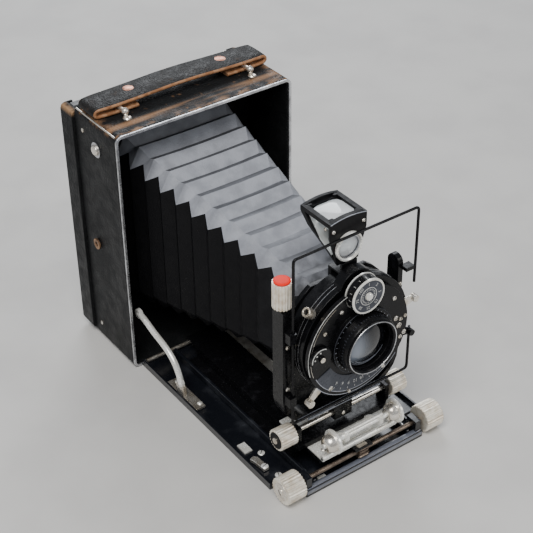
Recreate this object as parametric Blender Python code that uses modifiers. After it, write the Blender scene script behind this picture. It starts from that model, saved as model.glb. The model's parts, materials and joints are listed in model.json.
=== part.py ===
"""Folding plate camera of the 1920s, 9 x 12 cm class, standing open on a table.

Frame: +Z up, the lens looks along -Y, +X is to the right seen from the front, and the table is z = 0.
Every length below is in millimetres and is measured from the front face of the body, which stands at
y = 0 of the empty "camera_datum". The datum is moved back by BODY_FRONT_Y, so that the world origin is
the centre of the open camera's footprint.
"""

import math

import bmesh
import bpy
from mathutils import Matrix, Vector

MM = 0.001
GAP = 0.3  # clearance between touching pieces
BODY_FRONT_Y = 47.55  # world y of the body's front face

# ---- body
BODY_W = 118.0
BODY_H = 159.5
BODY_D = 44.0
WALL = 2.4
CORNER = 4.0
BACK_W = 122.0
BACK_END = 57.5
BULKHEAD_Y = 40.7

# ---- bed
BED_HALF_W = 53.5
BED_NOSE_HALF_W = 41.0
BED_NOSE_START = 133.0
BED_END = 149.5
BED_LIP = 4.4
BED_FLOOR = 1.6
RAIL_X = 33.0

# ---- focusing drive
PINION_Y = -144.5
PINION_Z = 8.4
FOCUS_KNOB_R = 8.1
GEAR_TEETH = 12
GEAR_TIP = 3.9
GEAR_ROOT = 3.0
RACK_PITCH = 1.9
RACK_ROOT = 12.45
RACK_TIP = 11.55

# ---- lens standard
STANDARD_Y = -123.5
STANDARD_DEPTH = 9.0
POST_IN = 35.2
LEFT_POST_TOP = 110.6
U_BOTTOM = 31.5
SHIFT_Y = -125.5
SHIFT_Z = 25.2
GRIP_Y = -145.0
GRIP_Z = 25.7
RISE_X = -38.0
WIRE_Y = -131.2
WIRE_R = 0.8
WIRE_LEFT = -36.8
WIRE_RIGHT = 44.0
WIRE_LOW = 37.5
WIRE_HIGH = 144.0

# ---- shutter and lens
AXIS_Z = 84.5
BOARD_FRONT = -121.3
BOARD_BACK = -118.5
BOARD_TOP = 114.0
DRUM_R = 33.4
RIM_R = 35.0
RIM_BACK = -128.9
RIM_FRONT = -136.6
TOWER_BACK = -130.1
PLATE_R = 33.2
PLATE_X = -1.5
PLATE_BACK = -138.6
PLATE_FRONT = -141.0
LEVER_Y = -137.6
DIAL_Z = 114.6
DIAL_R = 10.4
DIAL_FRONT = -146.0
MODE_X = -27.6
MODE_Z = 85.5

# ---- brilliant finder
FINDER_HALF_W = 11.8
FINDER_FRONT = -128.0
FINDER_BACK = -103.6
FINDER_TOP = 151.8
FINDER_LOW = 126.2
FINDER_LENS_Z = 136.0

for old in list(bpy.data.objects):
    bpy.data.objects.remove(old, do_unlink=True)

PARTS = bpy.data.collections.new("folding_plate_camera")
CUTTERS = bpy.data.collections.new("cutters")
bpy.context.scene.collection.children.link(PARTS)
bpy.context.scene.collection.children.link(CUTTERS)

DATUM = bpy.data.objects.new("camera_datum", None)
DATUM.location = (0, BODY_FRONT_Y * MM, 0)
PARTS.objects.link(DATUM)


# ---------------------------------------------------------------- materials
def material(name, colour, roughness, metallic=0.0, transmission=0.0):
    made = bpy.data.materials.new(name)
    made.use_nodes = True
    shader = made.node_tree.nodes["Principled BSDF"]
    shader.inputs["Base Color"].default_value = (*colour, 1)
    shader.inputs["Roughness"].default_value = roughness
    shader.inputs["Metallic"].default_value = metallic
    shader.inputs["Transmission Weight"].default_value = transmission
    made.diffuse_color = (*colour, 1)
    return made


LEATHER = material("black_leather", (0.018, 0.019, 0.02), 0.6)
STRAP = material("strap_leather", (0.05, 0.04, 0.032), 0.55)
LACQUER = material("black_lacquer", (0.012, 0.012, 0.014), 0.28)
NICKEL = material("nickel", (0.72, 0.69, 0.63), 0.28, 1.0)
STEEL = material("steel_edge", (0.55, 0.56, 0.58), 0.35, 1.0)
CLOTH = material("bellows_leather", (0.16, 0.165, 0.18), 0.5)
GLASS = material("glass", (0.8, 0.85, 0.9), 0.05, 0.0, 1.0)
MIRROR = material("mirror", (0.85, 0.86, 0.87), 0.06, 1.0)
RED = material("red_enamel", (0.85, 0.12, 0.05), 0.4)
BRASS = material("brass", (0.62, 0.45, 0.2), 0.35, 1.0)


# ---------------------------------------------------------------- builders
def empty(name, at, parent=DATUM):
    """An empty on a joint axis. at is measured from the datum."""
    made = bpy.data.objects.new(name, None)
    made.location = (Vector(at) - datum_place(parent)) * MM
    made.parent = parent
    PARTS.objects.link(made)
    return made


def datum_place(obj):
    """Where an object stands from the datum, in millimetres."""
    place = Vector((0, 0, 0))
    while obj is not None and obj is not DATUM:
        place += obj.location / MM
        obj = obj.parent
    return place


def finish(bm, name, at, look, parent=DATUM, smooth=None, cutter=False):
    """Turns a bmesh in millimetres, built round its own origin, into an object standing at a place."""
    bmesh.ops.scale(bm, vec=(MM, MM, MM), verts=bm.verts)
    bmesh.ops.recalc_face_normals(bm, faces=bm.faces)
    mesh = bpy.data.meshes.new(name)
    bm.to_mesh(mesh)
    bm.free()
    obj = bpy.data.objects.new(name, mesh)
    obj.parent = parent
    obj.location = (Vector(at) - datum_place(parent)) * MM
    if cutter:
        obj.hide_render = True
        obj.display_type = "WIRE"
        CUTTERS.objects.link(obj)
        return obj
    mesh.materials.append(look)
    if smooth:
        mesh.shade_smooth()
        mesh.set_sharp_from_angle(angle=math.radians(smooth))
    PARTS.objects.link(obj)
    return obj


def box_bm(size):
    bm = bmesh.new()
    bmesh.ops.create_cube(bm, size=1)
    bmesh.ops.scale(bm, vec=size, verts=bm.verts)
    return bm


def span(low, high):
    """Centre and size of the box between two corners."""
    low = Vector(low)
    high = Vector(high)
    return (low + high) / 2, high - low


def box(name, low, high, look=None, parent=DATUM, bevel=0.0, cutter=False):
    centre, size = span(low, high)
    obj = finish(box_bm(size), name, centre, look, parent, cutter=cutter)
    if bevel:
        soften(obj, bevel)
    return obj


AXES = {
    "x": Matrix.Rotation(math.radians(90), 3, "Y"),
    "y": Matrix.Rotation(math.radians(-90), 3, "X"),
    "z": Matrix.Identity(3),
}


def cylinder_bm(radius, length, axis, sides, radius_end=None):
    bm = bmesh.new()
    end = radius if radius_end is None else radius_end
    bmesh.ops.create_cone(bm, cap_ends=True, segments=sides, radius1=radius, radius2=end, depth=length)
    bmesh.ops.rotate(bm, cent=(0, 0, 0), matrix=AXES[axis], verts=bm.verts)
    return bm


def cylinder(name, centre, radius, length, axis, look=None, parent=DATUM, sides=24, cutter=False, end=None):
    bm = cylinder_bm(radius, length, axis, sides, end)
    return finish(bm, name, centre, look, parent, smooth=40, cutter=cutter)


def prism_bm(outline, length, axis="y"):
    """A flat outline, extruded along an axis about the middle of its length.

    The outline's two coordinates are x and z for axis y, y and z for axis x, and x and y for axis z.
    """
    bm = bmesh.new()
    corners = []
    for a, b in outline:
        corners.append(bm.verts.new({"y": (a, 0, b), "x": (0, a, b), "z": (a, b, 0)}[axis]))
    face = bm.faces.new(corners)
    step = Vector({"x": (1, 0, 0), "y": (0, 1, 0), "z": (0, 0, 1)}[axis]) * length
    bmesh.ops.translate(bm, vec=-step / 2, verts=bm.verts)
    raised = bmesh.ops.extrude_face_region(bm, geom=[face])
    moved = [item for item in raised["geom"] if isinstance(item, bmesh.types.BMVert)]
    bmesh.ops.translate(bm, vec=step, verts=moved)
    return bm


def prism(name, outline, at, length, axis, look=None, parent=DATUM, cutter=False, smooth=None):
    return finish(prism_bm(outline, length, axis), name, at, look, parent, smooth, cutter)


def arc(centre, radius, start, end, steps):
    """Points on an arc, angles in degrees."""
    points = []
    for index in range(steps + 1):
        angle = math.radians(start + (end - start) * index / steps)
        points.append((centre[0] + radius * math.cos(angle), centre[1] + radius * math.sin(angle)))
    return points


def rounded_rectangle(half_w, low, high, radius, steps=4):
    points = []
    for cx, cz, start in (
        (half_w - radius, low + radius, -90),
        (half_w - radius, high - radius, 0),
        (-half_w + radius, high - radius, 90),
        (-half_w + radius, low + radius, 180),
    ):
        points += arc((cx, cz), radius, start, start + 90, steps)
    return points


def soften(obj, width, segments=1, angle=30):
    modifier = obj.modifiers.new("edges", "BEVEL")
    modifier.width = width * MM
    modifier.segments = segments
    modifier.limit_method = "ANGLE"
    modifier.angle_limit = math.radians(angle)


def boolean(obj, other, operation="DIFFERENCE"):
    modifier = obj.modifiers.new(operation.lower(), "BOOLEAN")
    modifier.operation = operation
    modifier.solver = "EXACT"
    modifier.object = other


def cut(obj, *cutters):
    for cutter in cutters:
        boolean(obj, cutter)


def join(obj, *others):
    for other in others:
        boolean(obj, other, "UNION")


def turned(name, profile, at, axis, look, parent=DATUM, sides=28):
    """A turned piece: (distance along the axis, radius) pairs from its low end to its high end.

    The profile lies in the XZ plane and runs down its outer side, and a Screw modifier turns it.
    """
    bm = bmesh.new()
    chain = [bm.verts.new((radius * MM, 0, along * MM)) for along, radius in reversed(profile)]
    for first, second in zip(chain, chain[1:]):
        bm.edges.new((first, second))
    mesh = bpy.data.meshes.new(name)
    bm.to_mesh(mesh)
    bm.free()
    obj = bpy.data.objects.new(name, mesh)
    obj.parent = parent
    obj.location = (Vector(at) - datum_place(parent)) * MM
    obj.rotation_euler = AXES[axis].to_euler()
    turn = obj.modifiers.new("turn", "SCREW")
    turn.steps = sides
    turn.render_steps = sides
    turn.use_merge_vertices = True
    turn.merge_threshold = 0.00001
    mesh.materials.append(look)
    PARTS.objects.link(obj)
    return obj


def knurled_bm(radius, length, axis, ridges, depth):
    """A drum with coarse straight knurling: each ridge is a flat crown between two slopes."""
    outline = []
    for ridge in range(ridges):
        for share, reach in ((0.0, radius), (0.55, radius), (0.78, radius - depth)):
            angle = 2 * math.pi * (ridge + share) / ridges
            outline.append((reach * math.cos(angle), reach * math.sin(angle)))
    return prism_bm(outline, length, axis)


def wire(name, points, radius, look, parent=DATUM, at=(0, 0, 0), resolution=2):
    """A bent rod along a poly line, with closed ends. Points and place are from the datum."""
    curve = bpy.data.curves.new(name, "CURVE")
    curve.dimensions = "3D"
    curve.bevel_depth = radius * MM
    curve.bevel_resolution = resolution
    curve.use_fill_caps = True
    spline = curve.splines.new("POLY")
    spline.points.add(len(points) - 1)
    for control, point in zip(spline.points, points):
        control.co = (*((Vector(point) - Vector(at)) * MM), 1)
    curve.materials.append(look)
    obj = bpy.data.objects.new(name, curve)
    obj.parent = parent
    obj.location = (Vector(at) - datum_place(parent)) * MM
    PARTS.objects.link(obj)
    return obj


def both_sides():
    return (("left", -1), ("right", 1))


# ---------------------------------------------------------------- body
def build_body():
    middle = BODY_D / 2
    outer = rounded_rectangle(BODY_W / 2, 0, BODY_H, CORNER)
    inner = rounded_rectangle(BODY_W / 2 - WALL, WALL, BODY_H - WALL, CORNER - WALL)
    shell = prism("body_shell", outer, (0, middle, 0), BODY_D, "y", LEATHER, smooth=35)
    hollow = prism("cut_body_hollow", inner, (0, middle, 0), BODY_D + 2, "y", cutter=True)
    button_hole = cylinder("cut_button_hole", (-BODY_W / 2, 21.5, 142), 3.5, 12, "x", cutter=True)
    bush_hole = cylinder("cut_bush_hole", (0, 24, 0), 6.3, 12, "z", cutter=True)
    cut(shell, hollow, button_hole, bush_hole)

    rim_inner = rounded_rectangle(BODY_W / 2 - 1.7, 1.7, BODY_H - 1.7, CORNER - 1.7)
    rim = prism("front_rim", outer, (0, -0.9, 0), 1.2, "y", STEEL, smooth=35)
    cut(rim, prism("cut_rim", rim_inner, (0, -0.9, 0), 4, "y", cutter=True))

    in_half = BODY_W / 2 - WALL - GAP
    panel = rounded_rectangle(in_half, WALL + GAP, BODY_H - WALL - GAP, CORNER - WALL)
    bulkhead = prism("rear_bulkhead", panel, (0, BULKHEAD_Y, 0), 2.4, "y", LACQUER)
    window = rounded_rectangle(40.5, 22, 138, 2)
    cut(bulkhead, prism("cut_bulkhead", window, (0, BULKHEAD_Y, 0), 6, "y", cutter=True))

    turned("tripod_bush", [(0, 3.2), (0, 6.0), (6.5, 6.0), (6.5, 3.2), (0, 3.2)], (0, 24, 0.2), "z", NICKEL)
    turned("side_tripod_bush", [(0, 1.4), (0, 3.4), (1.2, 3.4), (1.2, 1.4), (0, 1.4)], (-60.8, 29.5, 75), "x", NICKEL)

    pivot = empty("button_slide", (-60.6, 21.5, 142))
    cap = [(0, 0.0), (0, 2.6), (0.7, 3.15), (5.4, 3.15), (5.4, 4.6), (6.6, 4.6), (6.6, 0.0)]
    turned("bed_release_button", cap, (-61.0, 21.5, 142), "x", NICKEL, pivot, 20)


# ---------------------------------------------------------------- focusing back
def build_back():
    low = 3.0
    high = 156.5
    half = BACK_W / 2
    frame_front = BODY_D + GAP
    slot_front = 50.0
    lip = 1.4
    frame = prism(
        "back_frame",
        rounded_rectangle(half, low, high, 3, 2),
        (0, (frame_front + BACK_END) / 2, 0),
        BACK_END - frame_front,
        "y",
        LACQUER,
    )
    window = prism("cut_back_window", rounded_rectangle(42, 20, 140, 2), (0, 50, 0), 20, "y", cutter=True)
    slide_room = box("cut_back_slot", (-56.4, slot_front, low + 1.8), (56.4, BACK_END - lip, high + 5), cutter=True)
    lid_room = box("cut_back_lips", (-53.2, slot_front, low + 1.8), (53.2, BACK_END + 5, high + 5), cutter=True)
    cut(frame, window, slide_room, lid_room)

    slide = empty("ground_glass_slide", (0, 53, 5))
    holder = box("ground_glass_frame", (-56.0, slot_front + GAP, 5.2), (56.0, 55.4, 156.0), LACQUER, slide)
    cut(holder, box("cut_glass_seat", (-40, 45, 28), (40, 60, 132), cutter=True))
    box("ground_glass", (-39.7, 51.4, 28.3), (39.7, 53.2, 131.7), GLASS, slide)

    hinge = empty("hood_hinge", (0, 56.6, 152.4), slide)
    cover = box("hood_cover", (-52.4, 55.8, 14), (52.4, BACK_END, 151.0), LEATHER, hinge)
    soften(cover, 0.5)
    cylinder("hood_hinge_pin", (0, 56.6, 152.4), 0.85, 100, "x", NICKEL, slide, 12)


# ---------------------------------------------------------------- drop bed
def bed_outline(inset, start):
    wide = BED_HALF_W - inset
    narrow = BED_NOSE_HALF_W - inset
    step = BED_NOSE_START - inset
    end = BED_END - inset
    return [(-wide, -start), (wide, -start), (wide, -step), (narrow, -step), (narrow, -end),
            (-narrow, -end), (-narrow, -step), (-wide, -step)]


def build_bed():
    bed = prism("bed_plate", bed_outline(0, 1.8), (0, 0, BED_LIP / 2), BED_LIP, "z", LACQUER)
    pocket = prism("cut_bed_pocket", bed_outline(1.2, 0), (0, 0, BED_FLOOR + 5), 10, "z", cutter=True)
    cut(bed, pocket)
    for side, sign in both_sides():
        inner, outer = sorted((sign * 36.6, sign * 40.4))
        low = (inner, PINION_Y - 4, BED_FLOOR - 0.6)
        block = box("join_bearing_" + side, low, (outer, PINION_Y + 4, PINION_Z + 3.2), cutter=True)
        join(bed, block)
    bore = cylinder("cut_pinion_bore", (0, PINION_Y, PINION_Z), 1.7, 120, "x", sides=16, cutter=True)
    cut(bed, bore)

    cylinder("bed_hinge_pin", (0, -3.4, 3.6), 1.2, 103, "x", STEEL, sides=14)

    for side, sign in both_sides():
        inner, outer = sorted((sign * (RAIL_X - 1), sign * (RAIL_X + 1)))
        box("bed_rail_" + side, (inner, -146.5, BED_FLOOR + GAP), (outer, -6, 6.4), LACQUER, bevel=0.4)

        x = sign * 50.6
        route = [(x, 3, 35.5), (x, -4, 34.2), (x, -13, 31.2), (x, -21, 29.3), (x, -29, 26.6), (x, -35, 22.4),
                 (x, -38.8, 17), (x, -40.6, 12.6)]
        wire("bed_strut_" + side, route, 1.5, NICKEL)

        low_x, high_x = sorted((sign * 45.2, sign * 51.6))
        foot = box("strut_foot_" + side, (low_x, -58, BED_FLOOR + GAP), (high_x, -27, 3.4), NICKEL)
        ear_low, ear_high = sorted((sign * 49.4, sign * 51.6))
        join(foot, box("join_foot_ear_" + side, (ear_low, -44.5, 2.5), (ear_high, -37, 10.6), cutter=True))

    lever = empty("bed_lock_axis", (-47.5, -120, 3))
    arm = [(-1.8, -1.8), (1.8, -1.8), (1.4, 8.5), (-0.4, 10.5), (-3.4, 9.5), (-2.6, 6.5)]
    prism("bed_lock_lever", arm, (-47.5, -120, 3.1), 2.2, "z", NICKEL, lever)


# ---------------------------------------------------------------- focusing drive
def gear_outline():
    """The pinion's teeth, in y and z about its axis, with one tooth pointing straight up at rest."""
    outline = []
    for tooth in range(GEAR_TEETH):
        for share, radius in ((-0.24, GEAR_ROOT), (-0.1, GEAR_TIP), (0.1, GEAR_TIP), (0.24, GEAR_ROOT)):
            angle = math.radians(90) + 2 * math.pi * (tooth + share) / GEAR_TEETH
            outline.append((radius * math.cos(angle), radius * math.sin(angle)))
    return outline


def build_drive():
    axis = empty("pinion_axis", (0, PINION_Y, PINION_Z))
    place = (0, PINION_Y, PINION_Z)
    shaft = cylinder("pinion_shaft", place, 1.35, 2 * 42.4, "x", STEEL, axis, 16)
    gear = prism("join_gear", gear_outline(), place, 6, "x", parent=axis, cutter=True)
    join(shaft, gear)
    for side, sign in both_sides():
        centre = (sign * 48.6, PINION_Y, PINION_Z)
        knob = finish(knurled_bm(FOCUS_KNOB_R, 11.8, "x", 26, 0.8), "focus_knob_" + side, centre, NICKEL, axis)
        soften(knob, 0.6, 1, 60)

    carriage = empty("carriage_slide", (0, -75, 12))
    top = 13.0
    under = 11.7
    plate = box("carriage_plate", (-26, -141.4, under), (26, -8, top), LACQUER, carriage)
    for side, sign in both_sides():
        inner, outer = sorted((sign * 24.2, sign * 31.6))
        shoe_low = (inner, -122, BED_FLOOR + 0.6)
        join(plate, box("join_shoe_" + side, shoe_low, (outer, -20, 5.6), cutter=True))
        web_in, web_out = sorted((sign * 24.2, sign * 26.0))
        join(plate, box("join_web_" + side, (web_in, -122, 5), (web_out, -20, under + 0.6), cutter=True))
        skirt_in, skirt_out = sorted((sign * 24.4, sign * 26.0))
        join(plate, box("join_skirt_" + side, (skirt_in, -141.4, 10.2), (skirt_out, -121, under + 0.6), cutter=True))
        nose_in, nose_out = sorted((sign * 5.0, sign * 26.0))
        join(plate, box("join_nose_" + side, (nose_in, -141.4, 10.2), (nose_out, -140.2, under + 0.6), cutter=True))
    join(plate, box("join_tongue", (-6, -147.6, under), (6, -141, top), cutter=True))
    cut(plate, box("cut_rack_slot", (-3.4, -147.0, 10), (3.4, -12, 20), cutter=True))

    teeth = 22
    rack_end = -146.6
    outline = [(rack_end, top), (rack_end, RACK_ROOT)]
    for tooth in range(-1, teeth):
        middle = PINION_Y + RACK_PITCH * (tooth + 0.5)
        for share, level in ((-0.24, RACK_ROOT), (-0.1, RACK_TIP), (0.1, RACK_TIP), (0.24, RACK_ROOT)):
            outline.append((middle + share * RACK_PITCH, level))
    outline += [(-12.5, RACK_ROOT), (-12.5, top)]
    prism("focus_rack", outline, (0, 0, 0), 6.2, "x", STEEL, carriage)
    return carriage


# ---------------------------------------------------------------- standard base, shift screw, lock grips
def build_standard_base(carriage):
    slide = empty("standard_slide", (0, -125, 14), carriage)
    base = box("standard_base", (-26, -143.9, 13.3), (26, -104, 14.7), NICKEL, slide)
    join(base, box("join_base_lip", (-26, -144.1, 13.3), (26, -142.1, 16.0), cutter=True))

    block = box("shift_base", (-32, -131, 15.0), (32, -119.6, 18.2), LACQUER, slide)
    for side, sign in both_sides():
        inner, outer = sorted((sign * 29.4, sign * 32.0))
        ear = box("join_shift_ear_" + side, (inner, -129.5, 17), (outer, -121.5, 29.2), cutter=True)
        join(block, ear)
    cut(block, cylinder("cut_shift_bore", (0, SHIFT_Y, SHIFT_Z), 2.0, 80, "x", sides=16, cutter=True))

    axis = empty("shift_screw_axis", (0, SHIFT_Y, SHIFT_Z), slide)
    cylinder("shift_screw", (0, SHIFT_Y, SHIFT_Z), 1.6, 65.4, "x", STEEL, axis, 16)
    for side, sign in both_sides():
        centre = (sign * 38.4, SHIFT_Y, SHIFT_Z)
        knob = finish(knurled_bm(6.4, 10.8, "x", 22, 0.7), "shift_knob_" + side, centre, NICKEL, axis)
        soften(knob, 0.5, 1, 60)

    bracket = box("grip_bracket", (-13, -141.5, 15.0), (13, -134, 17.2), NICKEL, slide)
    for side, sign in both_sides():
        inner, outer = sorted((sign * 10.6, sign * 13.0))
        arm = [(-134, 16), (-141.5, 16), (-147.4, 23.5), (-147.4, 28.0), (-144.0, 28.0), (-134, 20)]
        join(bracket, prism("join_grip_arm_" + side, arm, ((inner + outer) / 2, 0, 0), 2.4, "x", cutter=True))
    rod = cylinder("join_grip_rod", (0, GRIP_Y, GRIP_Z), 1.5, 54, "x", sides=14, cutter=True)
    join(bracket, rod)

    for side, x in (("left", -22.4), ("right", 20.4)):
        grip_axis = empty("grip_slide_" + side, (x, GRIP_Y, GRIP_Z), slide)
        profile = [(-3.6, 1.8), (-3.6, 3.0), (-2.0, 5.4), (2.2, 6.0), (2.4, 7.2), (3.6, 7.2), (3.6, 1.8), (-3.6, 1.8)]
        turned("finger_grip_" + side, profile, (x, GRIP_Y, GRIP_Z), "x", NICKEL, grip_axis, 24)
    return slide


# ---------------------------------------------------------------- U frame with rise screw and wire finder
def u_outline():
    """The U from its left post's foot round the bottom to its right post, outer side then inner side."""
    bend = 20.0
    thick = 3.2
    left_out = -(POST_IN + 5.6)
    right_out = POST_IN + thick
    centre_z = U_BOTTOM + bend
    outline = [(left_out, LEFT_POST_TOP), (left_out, centre_z)]
    outline += arc((left_out + bend, centre_z), bend, 180, 270, 6)
    outline += arc((right_out - bend, centre_z), bend, 270, 360, 6)
    outline += [(right_out, 109.5), (POST_IN, 109.5), (POST_IN, centre_z)]
    outline += arc((right_out - bend, centre_z), bend - thick, 360, 270, 6)[1:]
    outline += arc((-POST_IN + bend - thick, centre_z), bend - thick, 270, 180, 6)
    outline += [(-POST_IN, LEFT_POST_TOP)]
    return outline


def build_u_frame(slide):
    shift = empty("cross_shift_slide", (0, STANDARD_Y, U_BOTTOM), slide)
    frame = prism("u_frame", u_outline(), (0, STANDARD_Y, 0), STANDARD_DEPTH, "y", LACQUER, shift, smooth=30)
    crown = cylinder("join_post_crown", (POST_IN + 1.6, STANDARD_Y, 109), 4.5, 3.2, "x", sides=20, cutter=True)
    nut = box("join_shift_nut", (-6, -128.6, 21.9), (6, -122.4, U_BOTTOM + 1), cutter=True)
    clip = box("join_wire_clip", (POST_IN + 2, -132.2, 105.8), (WIRE_RIGHT - 1.2, -127.4, 108.2), cutter=True)
    join(frame, crown, nut, clip)
    for level in (54, 96):
        knuckle = box("join_knuckle_%d" % level, (-40, -133.0, level - 3), (-35.6, -127.4, level + 3), cutter=True)
        join(frame, knuckle)
    wire_room = cylinder("cut_wire_bore", (WIRE_LEFT, WIRE_Y, 78), 1.15, 90, "z", sides=12, cutter=True)
    screw_room = cylinder("cut_rise_bore", (RISE_X, STANDARD_Y, 100), 1.5, 70, "z", sides=14, cutter=True)
    nut_bore = cylinder("cut_nut_bore", (0, SHIFT_Y, SHIFT_Z), 1.9, 40, "x", sides=16, cutter=True)
    cut(frame, wire_room, screw_room, nut_bore)

    axis = empty("rise_screw_axis", (RISE_X, STANDARD_Y, 104), shift)
    knob_low = 112.2
    knob_high = 127.4
    middle = (RISE_X, STANDARD_Y, (knob_low + knob_high) / 2)
    knob = finish(knurled_bm(5.3, knob_high - knob_low, "z", 18, 0.7), "rise_knob", middle, NICKEL, axis)
    join(knob, cylinder("join_rise_rod", (RISE_X, STANDARD_Y, 90), 1.15, 46, "z", sides=12, cutter=True))
    cylinder("rise_knob_cap", (RISE_X, STANDARD_Y, knob_high + GAP + 0.4), 4.5, 0.8, "z", RED, axis, 24)

    hinge = empty("wire_finder_hinge", (WIRE_LEFT, WIRE_Y, 90), shift)
    bend = 1.8
    corners = [(WIRE_RIGHT, 96.5), (WIRE_RIGHT, WIRE_HIGH), (WIRE_LEFT, WIRE_HIGH), (WIRE_LEFT, WIRE_LOW),
               (WIRE_RIGHT - 1.4, WIRE_LOW), (WIRE_RIGHT - 1.4, 67.0)]
    route = [corners[0]]
    for before, corner, after in zip(corners, corners[1:], corners[2:]):
        route += bent(before, corner, after, bend)
    route.append(corners[-1])
    points = [(x, WIRE_Y, z) for x, z in route]
    wire("wire_frame", points, WIRE_R, LACQUER, hinge, (WIRE_LEFT, WIRE_Y, 90))
    return shift


def bent(before, corner, after, reach):
    """Three points that round a square corner."""
    corner = Vector(corner)
    back = (Vector(before) - corner).normalized() * reach
    on = (Vector(after) - corner).normalized() * reach
    return [tuple(corner + back), tuple(corner + (back + on) * 0.29), tuple(corner + on)]


# ---------------------------------------------------------------- lens board and shutter
def board_outline():
    """Lens board: round top cut flat, straight sides and rounded bottom corners."""
    half = POST_IN - 0.5
    low = U_BOTTOM + 3.2 + 1.8
    reach = math.degrees(math.acos((BOARD_TOP - AXIS_Z) / half))
    outline = arc((0, AXIS_Z), half, 0, 90 - reach, 6)
    outline += arc((0, AXIS_Z), half, 90 + reach, 180, 6)
    outline += arc((-half + 16, low + 16), 16, 180, 270, 5)
    outline += arc((half - 16, low + 16), 16, 270, 360, 5)
    return outline


def build_lens(shift):
    rise = empty("lens_rise_slide", (0, BOARD_FRONT, AXIS_Z), shift)
    middle = (BOARD_FRONT + BOARD_BACK) / 2
    thick = BOARD_BACK - BOARD_FRONT
    board = prism("lens_board", board_outline(), (0, middle, 0), thick, "y", LACQUER, rise, smooth=30)
    cut(board, cylinder("cut_board_hole", (0, middle, AXIS_Z), 17.8, 10, "y", sides=32, cutter=True))

    front = BOARD_FRONT - GAP
    drum_mid = (front + RIM_BACK) / 2
    rim_mid = (RIM_BACK + RIM_FRONT) / 2
    housing = cylinder("shutter_housing", (0, rim_mid, AXIS_Z), RIM_R, RIM_BACK - RIM_FRONT, "y", LACQUER, rise, 44)
    drum = cylinder("join_drum", (0, drum_mid - 0.5, AXIS_Z), DRUM_R, front - RIM_BACK + 1, "y", sides=44, cutter=True)
    tower_mid = (TOWER_BACK + RIM_FRONT) / 2
    tower = cylinder("join_tower", (0, tower_mid, DIAL_Z), 11.2, TOWER_BACK - RIM_FRONT, "y", sides=28, cutter=True)
    join(housing, drum, tower)
    cut(housing, cylinder("cut_housing", (0, -130, AXIS_Z), 17.4, 40, "y", sides=32, cutter=True))

    plate_mid = (PLATE_FRONT + PLATE_BACK) / 2
    plate_thick = PLATE_BACK - PLATE_FRONT
    place = (PLATE_X, plate_mid, AXIS_Z - 0.7)
    plate = cylinder("shutter_plate", place, PLATE_R, plate_thick, "y", LACQUER, rise, 44)
    boss_back = RIM_FRONT - GAP
    boss_mid = (boss_back + PLATE_BACK - 0.5) / 2
    boss = cylinder("join_boss", (0, boss_mid, AXIS_Z), 27, boss_back - PLATE_BACK + 0.5, "y", sides=36, cutter=True)
    collar = cylinder("join_name_ring", (0, PLATE_FRONT - 0.6, AXIS_Z), 19.5, 2.8, "y", sides=40, cutter=True)
    join(plate, boss, collar)
    cut(plate, cylinder("cut_plate_hole", (0, plate_mid, AXIS_Z), 17.4, 20, "y", sides=32, cutter=True))
    seat = cylinder("cut_dial_seat", (0, -150, DIAL_Z), DIAL_R + 0.4, 2 * (150 + PLATE_BACK - 0.2), "y", sides=28, cutter=True)
    cut(plate, seat)

    tube = [(-28.0, 14.4), (-28.0, 16.2), (-26.6, 17.0), (-10, 17.0), (0, 17.0), (0, 14.4), (-28.0, 14.4)]
    turned("lens_barrel", tube, (0, -123, AXIS_Z), "y", LACQUER, rise, 36)
    bulge = [(0, 0.0), (0.5, 6.0), (1.7, 10.4), (3.4, 14.1), (5.6, 14.1), (5.6, 0.0)]
    turned("front_lens", bulge, (0, -149.0, AXIS_Z), "y", GLASS, rise, 32)
    turned("iris_diaphragm", [(0, 6), (0, 14.1), (1.2, 14.1), (1.2, 6), (0, 6)], (0, -132, AXIS_Z), "y", STEEL, rise)
    cell = [(0, 12.0), (0, 17.0), (4.0, 17.0), (4.0, 15.0), (10.0, 15.0), (10.0, 12.0), (0, 12.0)]
    turned("rear_lens_cell", cell, (0, -122.6, AXIS_Z), "y", BRASS, rise, 28)

    build_shutter_controls(rise)
    build_finder(rise)
    return rise


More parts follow.
